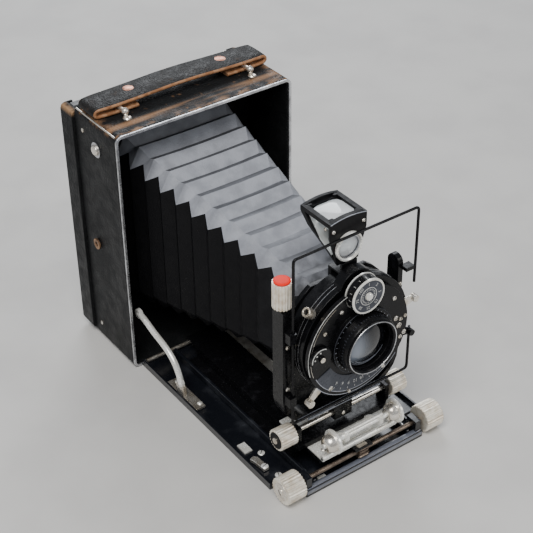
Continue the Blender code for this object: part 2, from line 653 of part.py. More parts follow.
def build_shutter_controls(rise):
    dial = empty("speed_dial_axis", (0, PLATE_FRONT, DIAL_Z), rise)
    back = PLATE_BACK - 0.2 - GAP
    drum = cylinder("speed_dial", (0, (back + DIAL_FRONT) / 2, DIAL_Z), DIAL_R, back - DIAL_FRONT, "y", NICKEL, dial, 32)
    join(drum, cylinder("join_dial_hub", (0, DIAL_FRONT - 0.3, DIAL_Z), 2.4, 1.6, "y", sides=16, cutter=True))

    mode = empty("mode_disc_axis", (MODE_X, PLATE_FRONT, MODE_Z), rise)
    disc = cylinder("mode_disc", (MODE_X, PLATE_FRONT - 1.3, MODE_Z), 6.5, 2.0, "y", LACQUER, mode, 24)
    join(disc, cylinder("join_mode_pin", (MODE_X, PLATE_FRONT - 2.6, MODE_Z), 1.9, 2.0, "y", sides=14, cutter=True))

    # Ring levers in the slot between the drum and the front plate: angle, reach, half width, knob radius
    for name, angle, reach, half, knob in (
        ("aperture_lever", -136, 44.0, 1.5, 2.2),
        ("cocking_lever", 12, 39.6, 1.5, 2.0),
        ("release_lever", -21, 40.0, 1.7, 1.9),
    ):
        axis = empty(name + "_axis", (0, LEVER_Y, AXIS_Z), rise)
        blade = [(27.6, -3.2), (31.0, -3.2), (reach, -half), (reach, half), (31.0, 3.2), (27.6, 3.2)]
        lever = prism(name, turn_outline(blade, angle), (0, LEVER_Y, AXIS_Z), 1.2, "y", LACQUER, axis)
        x = (reach - 0.6) * math.cos(math.radians(angle))
        z = AXIS_Z + (reach - 0.6) * math.sin(math.radians(angle))
        join(lever, cylinder("join_%s_knob" % name, (x, LEVER_Y - 0.8, z), knob, 3.8, "y", sides=16, cutter=True))

    angle = math.radians(139)
    direction = Vector((math.cos(angle), 0, math.sin(angle)))
    profile = [(0, 1.5), (0, 2.7), (5.4, 2.7), (5.4, 1.5), (0, 1.5)]
    place = Vector((0, -133.7, AXIS_Z)) + direction * (RIM_R + 0.4)
    socket = turned("cable_socket", profile, place, "z", NICKEL, rise, 18)
    socket.rotation_euler = Vector((0, 0, 1)).rotation_difference(direction).to_euler()


def turn_outline(points, degrees):
    """Turns an outline in x and z about the y axis."""
    angle = math.radians(degrees)
    turned_points = []
    for x, z in points:
        turned_points.append((x * math.cos(angle) - z * math.sin(angle), x * math.sin(angle) + z * math.cos(angle)))
    return turned_points


# ---------------------------------------------------------------- brilliant finder
def build_finder(rise):
    shelf_low = AXIS_Z + RIM_R + GAP
    strap_front = TOWER_BACK + GAP
    bracket = box("finder_bracket", (-5, strap_front, shelf_low), (5, BOARD_BACK, shelf_low + 1), LACQUER, rise)
    foot = box("join_finder_foot", (-5, BOARD_FRONT, BOARD_TOP + GAP), (5, BOARD_BACK, shelf_low + 0.5), cutter=True)
    strap = box("join_finder_strap", (-5, strap_front, shelf_low), (5, FINDER_FRONT - GAP, 127.2), cutter=True)
    join(bracket, foot, strap)

    pivot = empty("finder_pivot", (0, FINDER_FRONT, FINDER_LENS_Z), rise)
    side = [(FINDER_FRONT, FINDER_LOW), (FINDER_BACK, FINDER_TOP - 2.4), (FINDER_BACK, FINDER_TOP),
            (FINDER_FRONT, FINDER_TOP)]
    body = prism("finder_body", side, (0, 0, 0), 2 * FINDER_HALF_W, "x", LACQUER, pivot)
    hollow = [(FINDER_FRONT + 1.2, FINDER_LOW + 3.4), (FINDER_BACK - 3.4, FINDER_TOP - 1.8),
              (FINDER_FRONT + 1.2, FINDER_TOP - 1.8)]
    cut(body, prism("cut_finder_hollow", hollow, (0, 0, 0), 40, "x", cutter=True))
    port = cylinder("cut_finder_port", (0, FINDER_FRONT, FINDER_LENS_Z), 7.0, 6, "y", sides=20, cutter=True)
    window = box("cut_finder_window", (-9.0, -125.6, FINDER_TOP - 4), (9.0, -107.6, FINDER_TOP + 4), cutter=True)
    cut(body, port, window)
    tapers = []
    for side, sign in both_sides():
        corner = [(sign * 14.0, 145.5), (sign * 14.0, 124.0), (sign * 6.4, 124.0), (sign * 8.6, 133.0), (sign * 11.8, 143.6)]
        tapers.append(prism("cut_finder_taper_" + side, corner, (0, -115, 0), 60, "y", cutter=True))
    cut(body, *tapers)

    lens = [(0, 0.0), (0.6, 4.2), (1.6, 6.7), (2.4, 6.7), (2.4, 0.0)]
    turned("finder_front_lens", lens, (0, FINDER_FRONT - 1.3, FINDER_LENS_Z), "y", GLASS, pivot, 20)
    ring = [(0, 7.2), (0, 8.5), (1.7, 8.5), (1.7, 7.2), (0, 7.2)]
    turned("finder_lens_ring", ring, (0, FINDER_FRONT - 2.0, FINDER_LENS_Z), "y", NICKEL, rise, 28)

    slope = math.atan2(FINDER_TOP - 1.8 - FINDER_LOW - 3.4, FINDER_BACK - 3.4 - FINDER_FRONT - 1.2)
    centre_y = (FINDER_FRONT + 1.2 + FINDER_BACK - 3.4) / 2
    centre_z = (FINDER_LOW + 3.4 + FINDER_TOP - 1.8) / 2
    mirror_bm = box_bm((2 * FINDER_HALF_W - 3, 23, 0.8))
    bmesh.ops.rotate(mirror_bm, cent=(0, 0, 0), matrix=Matrix.Rotation(slope, 3, "X"), verts=mirror_bm.verts)
    shift_out = Vector((0, -math.sin(slope), math.cos(slope))) * (0.4 + GAP)
    mirror = finish(mirror_bm, "finder_mirror", Vector((0, centre_y, centre_z)) + shift_out, MIRROR, pivot)
    cut(mirror, *tapers)

    glass = box("finder_top_lens", (-8.7, -125.3, FINDER_TOP - 1.5), (8.7, -107.9, FINDER_TOP + 1.2), GLASS, pivot)
    soften(glass, 0.8, 2)


# ---------------------------------------------------------------- bellows
def build_bellows():
    rear = BULKHEAD_Y - 1.2 - GAP
    front = BOARD_BACK + GAP
    folds = 12
    wall = 0.8
    bm = bmesh.new()
    rings = []
    for index in range(2 * folds + 1):
        share = index / (2 * folds)
        y = rear + (front - rear) * share
        ridge = index % 2
        half_w = 38.0 + (18.2 - 38.0) * share + ridge * (4.6 - 1.6 * share)
        half_h = 54.5 + (24.8 - 54.5) * share + ridge * (4.4 - 1.4 * share)
        centre_z = 80.0 + (AXIS_Z - 80.0) * share
        chamfer_x = 6.0 - 1.0 * share
        chamfer_z = 9.5 - 2.5 * share
        ring = []
        for sx, sz in ((1, -1), (1, 1), (-1, 1), (-1, -1)):
            first = (sx * half_w, sz * (half_h - chamfer_z))
            second = (sx * (half_w - chamfer_x), sz * half_h)
            pair = (first, second) if sx * sz > 0 else (second, first)
            for x, z in pair:
                ring.append(bm.verts.new((x, y, centre_z + z)))
        rings.append(ring)
    for near, far in zip(rings, rings[1:]):
        for index in range(8):
            following = (index + 1) % 8
            bm.faces.new((near[index], near[following], far[following], far[index]))
    obj = finish(bm, "bellows", (0, 0, 0), CLOTH)
    shell = obj.modifiers.new("wall", "SOLIDIFY")
    shell.thickness = wall * MM
    shell.offset = -1
    return obj


# ---------------------------------------------------------------- carrying handle
def build_handle():
    top = BODY_H
    depth = 19.5
    middle_y = 30.7
    half = 58.2
    low = top + 1.3
    high = top + 5.4
    path = [(-31, low), (-half + 5, low), (-half + 1.6, low + 0.5), (-half, (low + high) / 2)]
    path += [(-half + 1.6, high - 0.4), (-half + 5, high)]
    path += [(-36, high + 0.1), (-22, high + 1.2), (-8, high + 2.0)]
    path += [(-x, z) for x, z in reversed(path)]
    bm = bmesh.new()
    for y in (-depth / 2, depth / 2):
        for x, z in path:
            bm.verts.new((x, y, z))
    bm.verts.ensure_lookup_table()
    count = len(path)
    for index in range(count - 1):
        bm.faces.new([bm.verts[place] for place in (index, index + 1, count + index + 1, count + index)])
    strap = finish(bm, "handle_strap", (0, middle_y, 0), STRAP, smooth=50)
    skin = strap.modifiers.new("leather", "SOLIDIFY")
    skin.thickness = 1.5 * MM
    skin.offset = 0

    for side, sign in both_sides():
        x = sign * 42.0
        bar_z = (low + high) / 2
        front_foot = 15.8
        back_foot = 42.8
        route = [(x, front_foot, top + GAP), (x, front_foot, bar_z - 0.8), (x, front_foot + 0.9, bar_z)]
        route += [(x, back_foot - 0.9, bar_z), (x, back_foot, bar_z - 0.8), (x, back_foot, top + GAP)]
        wire("handle_lug_" + side, route, 1.0, NICKEL)


build_body()
build_back()
build_bed()
CARRIAGE = build_drive()
STANDARD = build_standard_base(CARRIAGE)
CROSS = build_u_frame(STANDARD)
build_lens(CROSS)
build_bellows()
build_handle()
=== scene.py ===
import json
import math

import bmesh
import bpy
from mathutils import Matrix, Vector


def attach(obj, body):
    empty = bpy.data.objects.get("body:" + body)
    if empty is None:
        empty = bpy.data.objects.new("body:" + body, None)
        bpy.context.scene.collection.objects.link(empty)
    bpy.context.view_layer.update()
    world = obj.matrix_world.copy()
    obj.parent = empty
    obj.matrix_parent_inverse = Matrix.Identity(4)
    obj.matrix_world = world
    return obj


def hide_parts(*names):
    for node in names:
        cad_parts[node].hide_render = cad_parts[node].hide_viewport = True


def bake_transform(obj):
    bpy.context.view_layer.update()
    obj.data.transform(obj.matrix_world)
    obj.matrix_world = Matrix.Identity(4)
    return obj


# Looks of a 1920s folding plate camera, standing open on a table.
# Lengths are in millimetres, measured from the front face of the body. place() turns them into the row frame.

MM = 0.001
BODY_FRONT_Y = 47.55

# ---- body, bed and handle
BODY_HALF_W = 59.0
BODY_TOP = 159.5
BED_NOSE_HALF_W = 41.0
BAR_R = 2.4
BAR_Y = -147.4
BAR_Z = 2.6
STRUT_X = 50.6
STRAP_MIDDLE_Y = 30.7
STRAP_WIDTH = 19.5
STRAP_THICK = 1.9
LUG_X = 42.0

# ---- bellows
BELLOWS_REAR = 39.2
BELLOWS_FRONT = -118.2
FOLDS = 12

# ---- standard, shutter and lens
PINION_Y = -144.5
PINION_Z = 8.4
SHIFT_Y = -125.5
SHIFT_Z = 25.2
GRIP_Y = -145.0
GRIP_Z = 25.7
WIRE_Y = -131.2
WIRE_R = 0.8
WIRE_LEFT = -36.8
WIRE_RIGHT = 44.0
WIRE_LOW = 37.5
WIRE_HIGH = 144.0
RISE_X = -38.0
RISE_TOP = 127.7
STANDARD_Y = -123.5
AXIS_Z = 84.5
PLATE_X = -1.5
PLATE_Z = 83.8
PLATE_FRONT = -141.0
NAME_RING_FRONT = -143.0
HOUSING_R = 35.02
BARREL_REAR = -123
FRONT_LENS_Y = -149.0
FRONT_LENS_R = 14.1
FRONT_LENS_SAG = 4.4
DIAL_Z = 114.6
DIAL_R = 10.4
DIAL_FRONT = -146.0
MODE_X = -27.6
MODE_Z = 85.5
FINDER_LENS_Z = 136.0
FINDER_FRONT = -128.0
FINDER_BACK = -103.6
FINDER_TOP = 151.8
FINDER_HALF_W = 11.8

with open("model.json") as file:
    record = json.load(file)
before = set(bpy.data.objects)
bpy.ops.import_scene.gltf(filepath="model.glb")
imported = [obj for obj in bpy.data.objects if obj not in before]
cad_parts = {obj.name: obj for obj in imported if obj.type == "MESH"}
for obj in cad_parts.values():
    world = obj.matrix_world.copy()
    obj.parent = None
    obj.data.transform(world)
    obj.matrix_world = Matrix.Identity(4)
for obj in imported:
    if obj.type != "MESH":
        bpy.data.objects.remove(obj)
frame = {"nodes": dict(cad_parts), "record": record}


def write_sizes():
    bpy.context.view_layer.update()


write_sizes()


def place(x, y, z):
    """A point of this script, in the row frame."""
    return Vector((x, y + BODY_FRONT_Y, z)) * MM


# ---------------------------------------------------------------- materials
class Look:
    """A procedural material: the row frame's coordinates drive colour, roughness and relief."""

    def __init__(self, name, **sockets):
        self.material = bpy.data.materials.new(name)
        self.material.use_nodes = True
        self.nodes = self.material.node_tree.nodes
        self.links = self.material.node_tree.links
        self.shader = self.nodes["Principled BSDF"]
        self.coordinates = self.nodes.new("ShaderNodeTexCoord").outputs["Object"]
        split = self.nodes.new("ShaderNodeSeparateXYZ")
        self.links.new(self.coordinates, split.inputs[0])
        self.x, self.y, self.z = split.outputs
        for socket, value in sockets.items():
            self.put(socket.replace("_", " "), value)

    def feed(self, socket, value):
        if isinstance(value, bpy.types.NodeSocket):
            self.links.new(value, socket)
        elif isinstance(value, tuple) and len(value) == 3 and socket.type == "RGBA":
            socket.default_value = (*value, 1)
        else:
            socket.default_value = value

    def put(self, socket, value):
        self.feed(self.shader.inputs[socket], value)

    def noise(self, grain, detail=4, stretch=None):
        """Cloudy values from 0 to 1, with features about grain millimetres wide."""
        node = self.nodes.new("ShaderNodeTexNoise")
        node.inputs["Scale"].default_value = 1 / (grain * MM)
        node.inputs["Detail"].default_value = detail
        source = self.coordinates
        if stretch:
            mapping = self.nodes.new("ShaderNodeMapping")
            mapping.inputs["Scale"].default_value = stretch
            self.links.new(source, mapping.inputs[0])
            source = mapping.outputs[0]
        self.links.new(source, node.inputs["Vector"])
        return node.outputs[0]

    def cells(self, size):
        """Round pebbles about size millimetres wide: 0 in the middle of each."""
        node = self.nodes.new("ShaderNodeTexVoronoi")
        node.feature = "SMOOTH_F1"
        node.inputs["Scale"].default_value = 1 / (size * MM)
        node.inputs["Smoothness"].default_value = 0.6
        self.links.new(self.coordinates, node.inputs["Vector"])
        return node.outputs["Distance"]

    def span(self, value, low, high, first=0.0, last=1.0):
        """Maps a value smoothly from low..high to first..last."""
        node = self.nodes.new("ShaderNodeMapRange")
        node.interpolation_type = "SMOOTHSTEP"
        for index, amount in enumerate((low, high, first, last)):
            node.inputs[index + 1].default_value = amount
        self.links.new(value, node.inputs[0])
        return node.outputs[0]

    def maths(self, operation, a, b=0.0):
        node = self.nodes.new("ShaderNodeMath")
        node.operation = operation
        self.feed(node.inputs[0], a)
        self.feed(node.inputs[1], b)
        return node.outputs[0]

    def mix(self, share, first, second):
        node = self.nodes.new("ShaderNodeMix")
        node.data_type = "RGBA"
        self.feed(node.inputs[0], share)
        self.feed(node.inputs[6], first)
        self.feed(node.inputs[7], second)
        return node.outputs[2]

    def relief(self, height, depth):
        """A bump of the given depth in millimetres."""
        node = self.nodes.new("ShaderNodeBump")
        node.inputs["Strength"].default_value = 1.0
        node.inputs["Distance"].default_value = depth * MM
        self.links.new(height, node.inputs["Height"])
        self.put("Normal", node.outputs[0])


def metal(name, light, dark, rough=(0.18, 0.36), grain=6.0, relief=0.003, shine=0.85):
    """Plated or bare metal with cloudy tarnish and fine handling marks."""
    look = Look(name, Metallic=shine)
    cloud = look.span(look.noise(grain), 0.35, 0.72)
    look.put("Base Color", look.mix(cloud, light, dark))
    look.put("Roughness", look.span(look.noise(grain / 5), 0.3, 0.7, *rough))
    look.relief(look.noise(0.5, 2), relief)
    return look.material


def enamel(name, tone, worn_and_sheen, rough=(0.16, 0.34), grain=9.0, coat=0.0, shine=0.22):
    """Stove enamel with a little dust and wear; the light tones given for the bed's front bar and the grey
    lines are painted highlights.
    """
    look = Look(name, Coat_Weight=coat, Coat_Roughness=0.12, Specular_IOR_Level=shine)
    dust_and_sheen = look.span(look.noise(grain, 8), 0.52, 0.8, 0.0, 0.55)
    look.put("Base Color", look.mix(dust_and_sheen, tone, worn_and_sheen))
    look.put("Roughness", look.span(look.noise(grain / 4), 0.3, 0.7, *rough))
    look.relief(look.noise(2.5, 2), 0.006)
    return look.material


def leather(name, tone, worn_and_sheen, wear_mask, pebble=1.25, depth=0.16, rough=(0.42, 0.62)):
    """Pebbled leather. wear_mask makes the 0 to 1 map of where the colour has rubbed off."""
    look = Look(name, Specular_IOR_Level=0.2)
    wear = wear_mask(look)
    clouds = look.mix(look.span(look.noise(14, 6), 0.4, 0.75), tone, tuple(1.6 * part for part in tone))
    look.put("Base Color", look.mix(wear, clouds, worn_and_sheen))
    look.put("Roughness", look.span(look.noise(7), 0.3, 0.7, *rough))
    pebbles = look.span(look.cells(pebble), 0.1, 0.75, 1.0, 0.0)
    creases = look.noise(4.5, 6)
    height = look.maths("ADD", pebbles, look.maths("MULTIPLY", creases, 0.7))
    look.relief(height, depth)
    return look.material


def edge_wear(look):
    """Scuffs on the top of the case: along its edges, and in a streak that runs across it."""
    up = look.span(look.z, 0.1555, 0.1594)
    near_side = look.span(look.maths("ABSOLUTE", look.x), 0.050, 0.0585)
    middle = look.maths("ABSOLUTE", look.maths("SUBTRACT", look.y, (BODY_FRONT_Y + 22) * MM))
    near_end = look.span(middle, 0.015, 0.0215)
    from_streak = look.maths("ABSOLUTE", look.maths("SUBTRACT", look.y, 0.0565))
    streak = look.span(from_streak, 0.0006, 0.004, 1.0, 0.0)
    rubbed = look.span(look.noise(9, 10, (1, 1.6, 1)), 0.48, 0.66)
    edges = look.maths("MULTIPLY", look.maths("MAXIMUM", near_side, near_end), rubbed)
    lines = look.maths("MULTIPLY", streak, look.span(look.noise(22, 8, (0.25, 3, 1)), 0.42, 0.6))
    spots = look.span(look.noise(5, 9), 0.6, 0.72, 0.0, 0.5)
    found = look.maths("MAXIMUM", look.maths("MAXIMUM", edges, lines), spots)
    return look.maths("MULTIPLY", found, up)


def spot_wear(amount, low=0.6, high=0.75, grain=7):
    """Makes a wear mask of scattered spots."""
    def mask(look):
        return look.span(look.noise(grain, 9), low, high, 0.0, amount)
    return mask


def corner_wear(look):
    """The back frame's upper corners are rubbed to bare tan leather."""
    high = look.span(look.z, 0.1525, 0.1565)
    outside = look.span(look.maths("ABSOLUTE", look.x), 0.0565, 0.0608)
    rubbed = look.span(look.noise(5, 8), 0.3, 0.5)
    return look.maths("MULTIPLY", look.maths("MULTIPLY", high, outside), rubbed)


def bellows_look():
    """Black leather with a painted grey-blue sheen on the folds that face up and forward; towards the lens it
    turns an even dark grey in blotches.
    """
    look = Look("bellows_leather", IOR=1.47)
    normal = look.nodes.new("ShaderNodeNewGeometry").outputs["Normal"]
    parts = look.nodes.new("ShaderNodeSeparateXYZ")
    look.links.new(normal, parts.inputs[0])
    # Painted sheen: the folds that face up and forward get a pale grey-blue colour and more specular.
    up = look.span(parts.outputs[2], 0.12, 0.6)
    forward = look.span(parts.outputs[1], 0.05, 0.52, 1.0, 0.13)
    mottle = look.span(look.noise(9, 8), 0.3, 0.75, 0.75, 1.1)
    painted_sheen = look.maths("MULTIPLY", look.maths("MULTIPLY", up, forward), mottle)
    dust_and_sheen = look.mix(painted_sheen, (0.006, 0.006, 0.007), (0.33, 0.345, 0.385))
    blotches = look.span(look.noise(16, 4), 0.4, 0.6, 0.35, 1.0)
    near_lens = look.maths("MULTIPLY", look.span(look.y, -0.066, -0.030, 0.9, 0.0), blotches)
    look.put("Base Color", look.mix(near_lens, dust_and_sheen, (0.035, 0.036, 0.04)))
    look.put("Specular IOR Level", look.span(painted_sheen, 0.0, 0.6, 0.12, 0.5))
    look.put("Roughness", look.span(look.noise(6), 0.3, 0.7, 0.4, 0.58))
    grain = look.maths("ADD", look.noise(0.8, 3), look.maths("MULTIPLY", look.noise(7, 5), 2.2))
    look.relief(grain, 0.2)
    return look.material


def glass_look(name, tint, roughness=0.02, clear=1.0):
    look = Look(name, Transmission_Weight=clear, IOR=1.5, Coat_Weight=0.3)
    look.put("Base Color", look.mix(look.span(look.noise(12), 0.4, 0.7), tint, (0.97, 0.98, 1.0)))
    look.put("Roughness", look.span(look.noise(5), 0.3, 0.75, roughness, roughness + 0.02))
    return look.material


def glass_with_painted_reflection():
    """The front lens: a painted pale blue reflection on its upper left, clear and dark on the other side."""
    look = Look("front_glass", IOR=1.5, Coat_Weight=0.6, Coat_Roughness=0.02)
    leaning = look.maths("ADD", look.x, look.maths("MULTIPLY", look.noise(26, 2), 0.006))
    pale = look.span(leaning, -0.008, 0.0085, 1.0, 0.0)
    high = look.span(look.z, 0.0715, 0.082, 0.35, 1.0)
    # Painted reflection: the upper left of the glass is pale blue and less see-through.
    painted_reflection = look.maths("MULTIPLY", pale, high)
    look.put("Base Color", look.mix(painted_reflection, (0.012, 0.013, 0.018), (0.36, 0.41, 0.49)))
    look.put("Transmission Weight", look.span(painted_reflection, 0.0, 1.0, 0.75, 0.12))
    look.put("Roughness", look.span(look.noise(5), 0.3, 0.75, 0.03, 0.06))
    return look.material


def plain(name, light, dark, rough=(0.5, 0.7), grain=3.0, shine=0.5):
    """Paint or raw material with a slight mottle."""
    look = Look(name, Specular_IOR_Level=shine)
    look.put("Base Color", look.mix(look.span(look.noise(grain, 6), 0.35, 0.7), light, dark))
    look.put("Roughness", look.span(look.noise(grain), 0.3, 0.7, *rough))
    look.relief(look.noise(0.6, 3), 0.02)
    return look.material


NICKEL = metal("nickel_plate", (0.90, 0.86, 0.79), (0.60, 0.53, 0.43), (0.14, 0.3))
CREAM_NICKEL = metal("worn_cream_nickel", (0.96, 0.91, 0.80), (0.72, 0.63, 0.5), (0.3, 0.45),
                     grain=4.0, relief=0.01, shine=0.6)
# A whiter, less metallic copy of the nickel plate for the nickel parts that catch the light: painted
# highlight.
LIT_NICKEL = metal("nickel_painted_lit", (0.98, 0.98, 0.94), (0.85, 0.83, 0.76), (0.15, 0.3),
                     grain=5.0, relief=0.002, shine=0.45)
DARK_STEEL = metal("oiled_steel", (0.24, 0.19, 0.15), (0.12, 0.09, 0.07), (0.25, 0.4))
RIM_METAL = metal("rim_metal", (0.66, 0.67, 0.69), (0.36, 0.36, 0.37), (0.22, 0.42))
STEEL = metal("plain_steel", (0.56, 0.53, 0.48), (0.30, 0.26, 0.21), (0.28, 0.5))
COPPER = metal("copper_rivet", (0.72, 0.36, 0.25), (0.40, 0.17, 0.11), (0.3, 0.5))
BUSH_BRASS = metal("aged_brass", (0.42, 0.25, 0.14), (0.16, 0.09, 0.055), (0.35, 0.55))
LACQUER = enamel("black_enamel", (0.0035, 0.0035, 0.0042), (0.02, 0.02, 0.023))
BED_GLOSS = enamel("bed_enamel", (0.007, 0.008, 0.011), (0.05, 0.054, 0.064), (0.12, 0.26),
                   grain=14.0, coat=0.2, shine=0.5)
# The bed's front bar is black lacquer; its light blue-grey colour here is a painted highlight.
BAR_PAINTED_HIGHLIGHT = enamel("bar_enamel_painted_highlight", (0.11, 0.12, 0.15), (0.30, 0.32, 0.37), (0.1, 0.2),
                   grain=8.0, coat=1.0, shine=0.6)
# Grey gloss for the printed ticks round the name ring, and for painted highlights and reflections: the lines
# on the U-frame's bar, the arcs on the front lens, the finder's top edge and the shutter plate's lower rim.
LINE_GREY = enamel("grey_print_and_painted_highlights", (0.30, 0.32, 0.37), (0.46, 0.48, 0.52), (0.15, 0.3),
                   grain=6.0, coat=0.8, shine=0.6)
SCALE_BLUE = enamel("scale_plate", (0.055, 0.06, 0.075), (0.12, 0.13, 0.15), (0.25, 0.4))
MATTE_BLACK = plain("matte_black", (0.004, 0.004, 0.005), (0.01, 0.01, 0.011), (0.35, 0.5),
                    grain=3.0, shine=0.15)
WHITE_PAINT = plain("white_paint", (0.72, 0.72, 0.70), (0.5, 0.5, 0.47), (0.45, 0.6), grain=1.0)
RED = enamel("red_enamel", (0.85, 0.014, 0.003), (0.6, 0.014, 0.005), (0.4, 0.55), grain=2.0, coat=0.0)
CASE = leather("case_leather", (0.007, 0.0075, 0.008), (0.24, 0.13, 0.065), edge_wear)
BACK = leather("back_leather", (0.007, 0.0075, 0.008), (0.42, 0.25, 0.13), corner_wear)
STRAP_TOP = leather("strap_leather", (0.009, 0.0085, 0.008), (0.10, 0.06, 0.04), spot_wear(0.4), 1.1, 0.2)
RAW_WEAR = spot_wear(0.8, 0.45, 0.6, 3)
STRAP_RAW = leather("strap_raw_edge", (0.24, 0.11, 0.05), (0.40, 0.22, 0.12), RAW_WEAR, 0.5, 0.05)
BELLOWS = bellows_look()
LENS_GLASS = glass_look("lens_glass", (0.86, 0.91, 0.98))
FRONT_GLASS = glass_with_painted_reflection()
FINDER_GLASS = glass_look("finder_glass", (0.92, 0.96, 0.98), 0.02, 0.45)
GROUND_GLASS = glass_look("ground_glass_matt", (0.9, 0.93, 0.92), 0.45)
MIRROR = metal("mirror_silver", (0.95, 0.98, 0.96), (0.8, 0.84, 0.82), (0.03, 0.08),
               grain=8.0, relief=0.0, shine=0.55)


# ---------------------------------------------------------------- building pieces
TURNS = {
    "x": Matrix.Rotation(math.radians(90), 4, "Y"),
    "y": Matrix.Rotation(math.radians(-90), 4, "X"),
    "z": Matrix.Identity(4),
}


def polar(radius, degrees):
    return radius * math.cos(math.radians(degrees)), radius * math.sin(math.radians(degrees))


class Piece:
    """One mesh, put together from simple shapes in millimetres. look is an index into its materials."""

    def __init__(self, name, *looks):
        self.name = name
        self.looks = looks
        self.bm = bmesh.new()

    def shape(self, points, faces, look=0, matrix=None):
        """Adds points and faces as they are."""
        made = []
        for point in points:
            vector = Vector(point)
            made.append(self.bm.verts.new(matrix @ vector if matrix else vector))
        for corners in faces:
            face = self.bm.faces.new([made[index] for index in corners])
            face.material_index = look
        return made

    def lathe(self, profile, at, axis="y", look=0, sides=64, matrix=None):
        """Turns a closed profile of (distance along the axis, radius) pairs."""
        turn = Matrix.Translation(at) @ (matrix or TURNS[axis])
        points = []
        for step in range(sides):
            for along, radius in profile:
                x, y = polar(max(radius, 0.01), 360 * step / sides)
                points.append((x, y, along))
        count = len(profile)
        faces = []
        for step in range(sides):
            near = step * count
            far = (step + 1) % sides * count
            for index in range(count):
                after = (index + 1) % count
                faces.append((near + index, near + after, far + after, far + index))
        self.shape(points, faces, look, turn)
        return self

    def disc(self, at, radius, length, axis="y", look=0, sides=40, edge=0.25):
        """A solid round bar with eased ends, about the middle of its length."""
        half = length / 2
        ease = min(edge, half * 0.8, radius * 0.5)
        profile = [(-half, 0), (-half, radius - ease), (-half + ease, radius), (half - ease, radius),
                   (half, radius - ease), (half, 0)]
        return self.lathe(profile, at, axis, look, sides)

    def ring(self, at, radius, thick, axis="y", look=0, sides=72):
        """A round hoop of round wire."""
        profile = []
        for step in range(8):
            reach, along = polar(thick, 45 * step)
            profile.append((along, radius + reach))
        return self.lathe(profile, at, axis, look, sides)

    def box(self, low, high, look=0, matrix=None):
        """A block between two corners."""
        points = [(x, y, z) for x in (low[0], high[0]) for y in (low[1], high[1]) for z in (low[2], high[2])]
        faces = [(0, 1, 3, 2), (4, 6, 7, 5), (0, 4, 5, 1), (2, 3, 7, 6), (0, 2, 6, 4), (1, 5, 7, 3)]
        self.shape(points, faces, look, matrix)
        return self

    def plate(self, outline, back, front, look=0):
        """A flat outline in x and z, from y back to y front."""
        count = len(outline)
        points = [(x, back, z) for x, z in outline] + [(x, front, z) for x, z in outline]
        faces = [tuple(range(count)), tuple(reversed(range(count, 2 * count)))]
        for index in range(count):
            after = (index + 1) % count
            faces.append((index, count + index, count + after, after))
        self.shape(points, faces, look)
        return self

    def sector(self, centre, inner, outer, start, end, back, front, look=0, steps=32):
        """A part of a flat ring, angles in degrees."""
        angles = [start + (end - start) * step / steps for step in range(steps + 1)]
        outline = [polar(outer, angle) for angle in angles]
        outline += [polar(inner, angle) for angle in reversed(angles)]
        return self.plate([(centre[0] + x, centre[1] + z) for x, z in outline], back, front, look)

    def tube(self, points, radius, look=0, sides=16):
        """A round rod along a line of points."""
        route = [Vector(point) for point in points]
        up = Vector((0.31, 0.52, 0.79))
        rings = []
        for index, point in enumerate(route):
            along = (route[min(index + 1, len(route) - 1)] - route[max(index - 1, 0)]).normalized()
            across = (up - up.project(along)).normalized()
            up = across
            other = along.cross(across)
            for step in range(sides):
                a, b = polar(radius, 360 * step / sides)
                rings.append(point + across * a + other * b)
        faces = []
        for index in range(len(route) - 1):
            near = index * sides
            for step in range(sides):
                after = (step + 1) % sides
                faces.append((near + step, near + after, near + sides + after, near + sides + step))
        faces.append(tuple(reversed(range(sides))))
        faces.append(tuple(range(len(rings) - sides, len(rings))))
        self.shape(rings, faces, look)
        return self

    def screw(self, at, radius, direction=(0, -1, 0), slot_turn=30, look=0, slot_look=1, dome=0.5):
        """A slotted screw head that stands on a surface and faces a direction. The slot is a bar of slot_look
        laid across the head; where that look is black it is painted shade in the groove.
        """
        turn = Vector((0, 0, 1)).rotation_difference(Vector(direction)).to_matrix().to_4x4()
        profile = [(0, 0), (0, radius), (0.35, radius), (0.35 + dome * 0.6, radius * 0.78), (0.35 + dome, 0)]
        self.lathe(profile, at, look=look, sides=24, matrix=turn)
        matrix = Matrix.Translation(at) @ turn @ Matrix.Rotation(math.radians(slot_turn), 4, "Z")
        top = 0.36 + dome
        self.box((-radius * 0.8, -radius * 0.11, 0.3), (radius * 0.8, radius * 0.11, top), slot_look, matrix)
        return self

    def number(self, text, centre, radius, degrees, size, y, look):
        """A number on a dial that faces forward, with its top pointing outwards."""
        curve = bpy.data.curves.new("number", "FONT")
        curve.body = text
        curve.size = size
        curve.align_x = "CENTER"
        curve.align_y = "CENTER"
        curve.resolution_u = 2
        holder = bpy.data.objects.new("number", curve)
        bpy.context.scene.collection.objects.link(holder)
        graph = bpy.context.evaluated_depsgraph_get()
        mesh = bpy.data.meshes.new_from_object(holder.evaluated_get(graph))
        upright = Matrix.Translation((centre[0], y, centre[1])) @ Matrix.Rotation(math.radians(90), 4, "X")
        turn = Matrix.Rotation(math.radians(degrees - 90), 4, "Z")
        matrix = upright @ turn @ Matrix.Translation((0, radius, 0))
        points = [vertex.co for vertex in mesh.vertices]
        faces = [tuple(polygon.vertices) for polygon in mesh.polygons]
        self.shape(points, faces, look, matrix)
        bpy.data.objects.remove(holder)
        return self

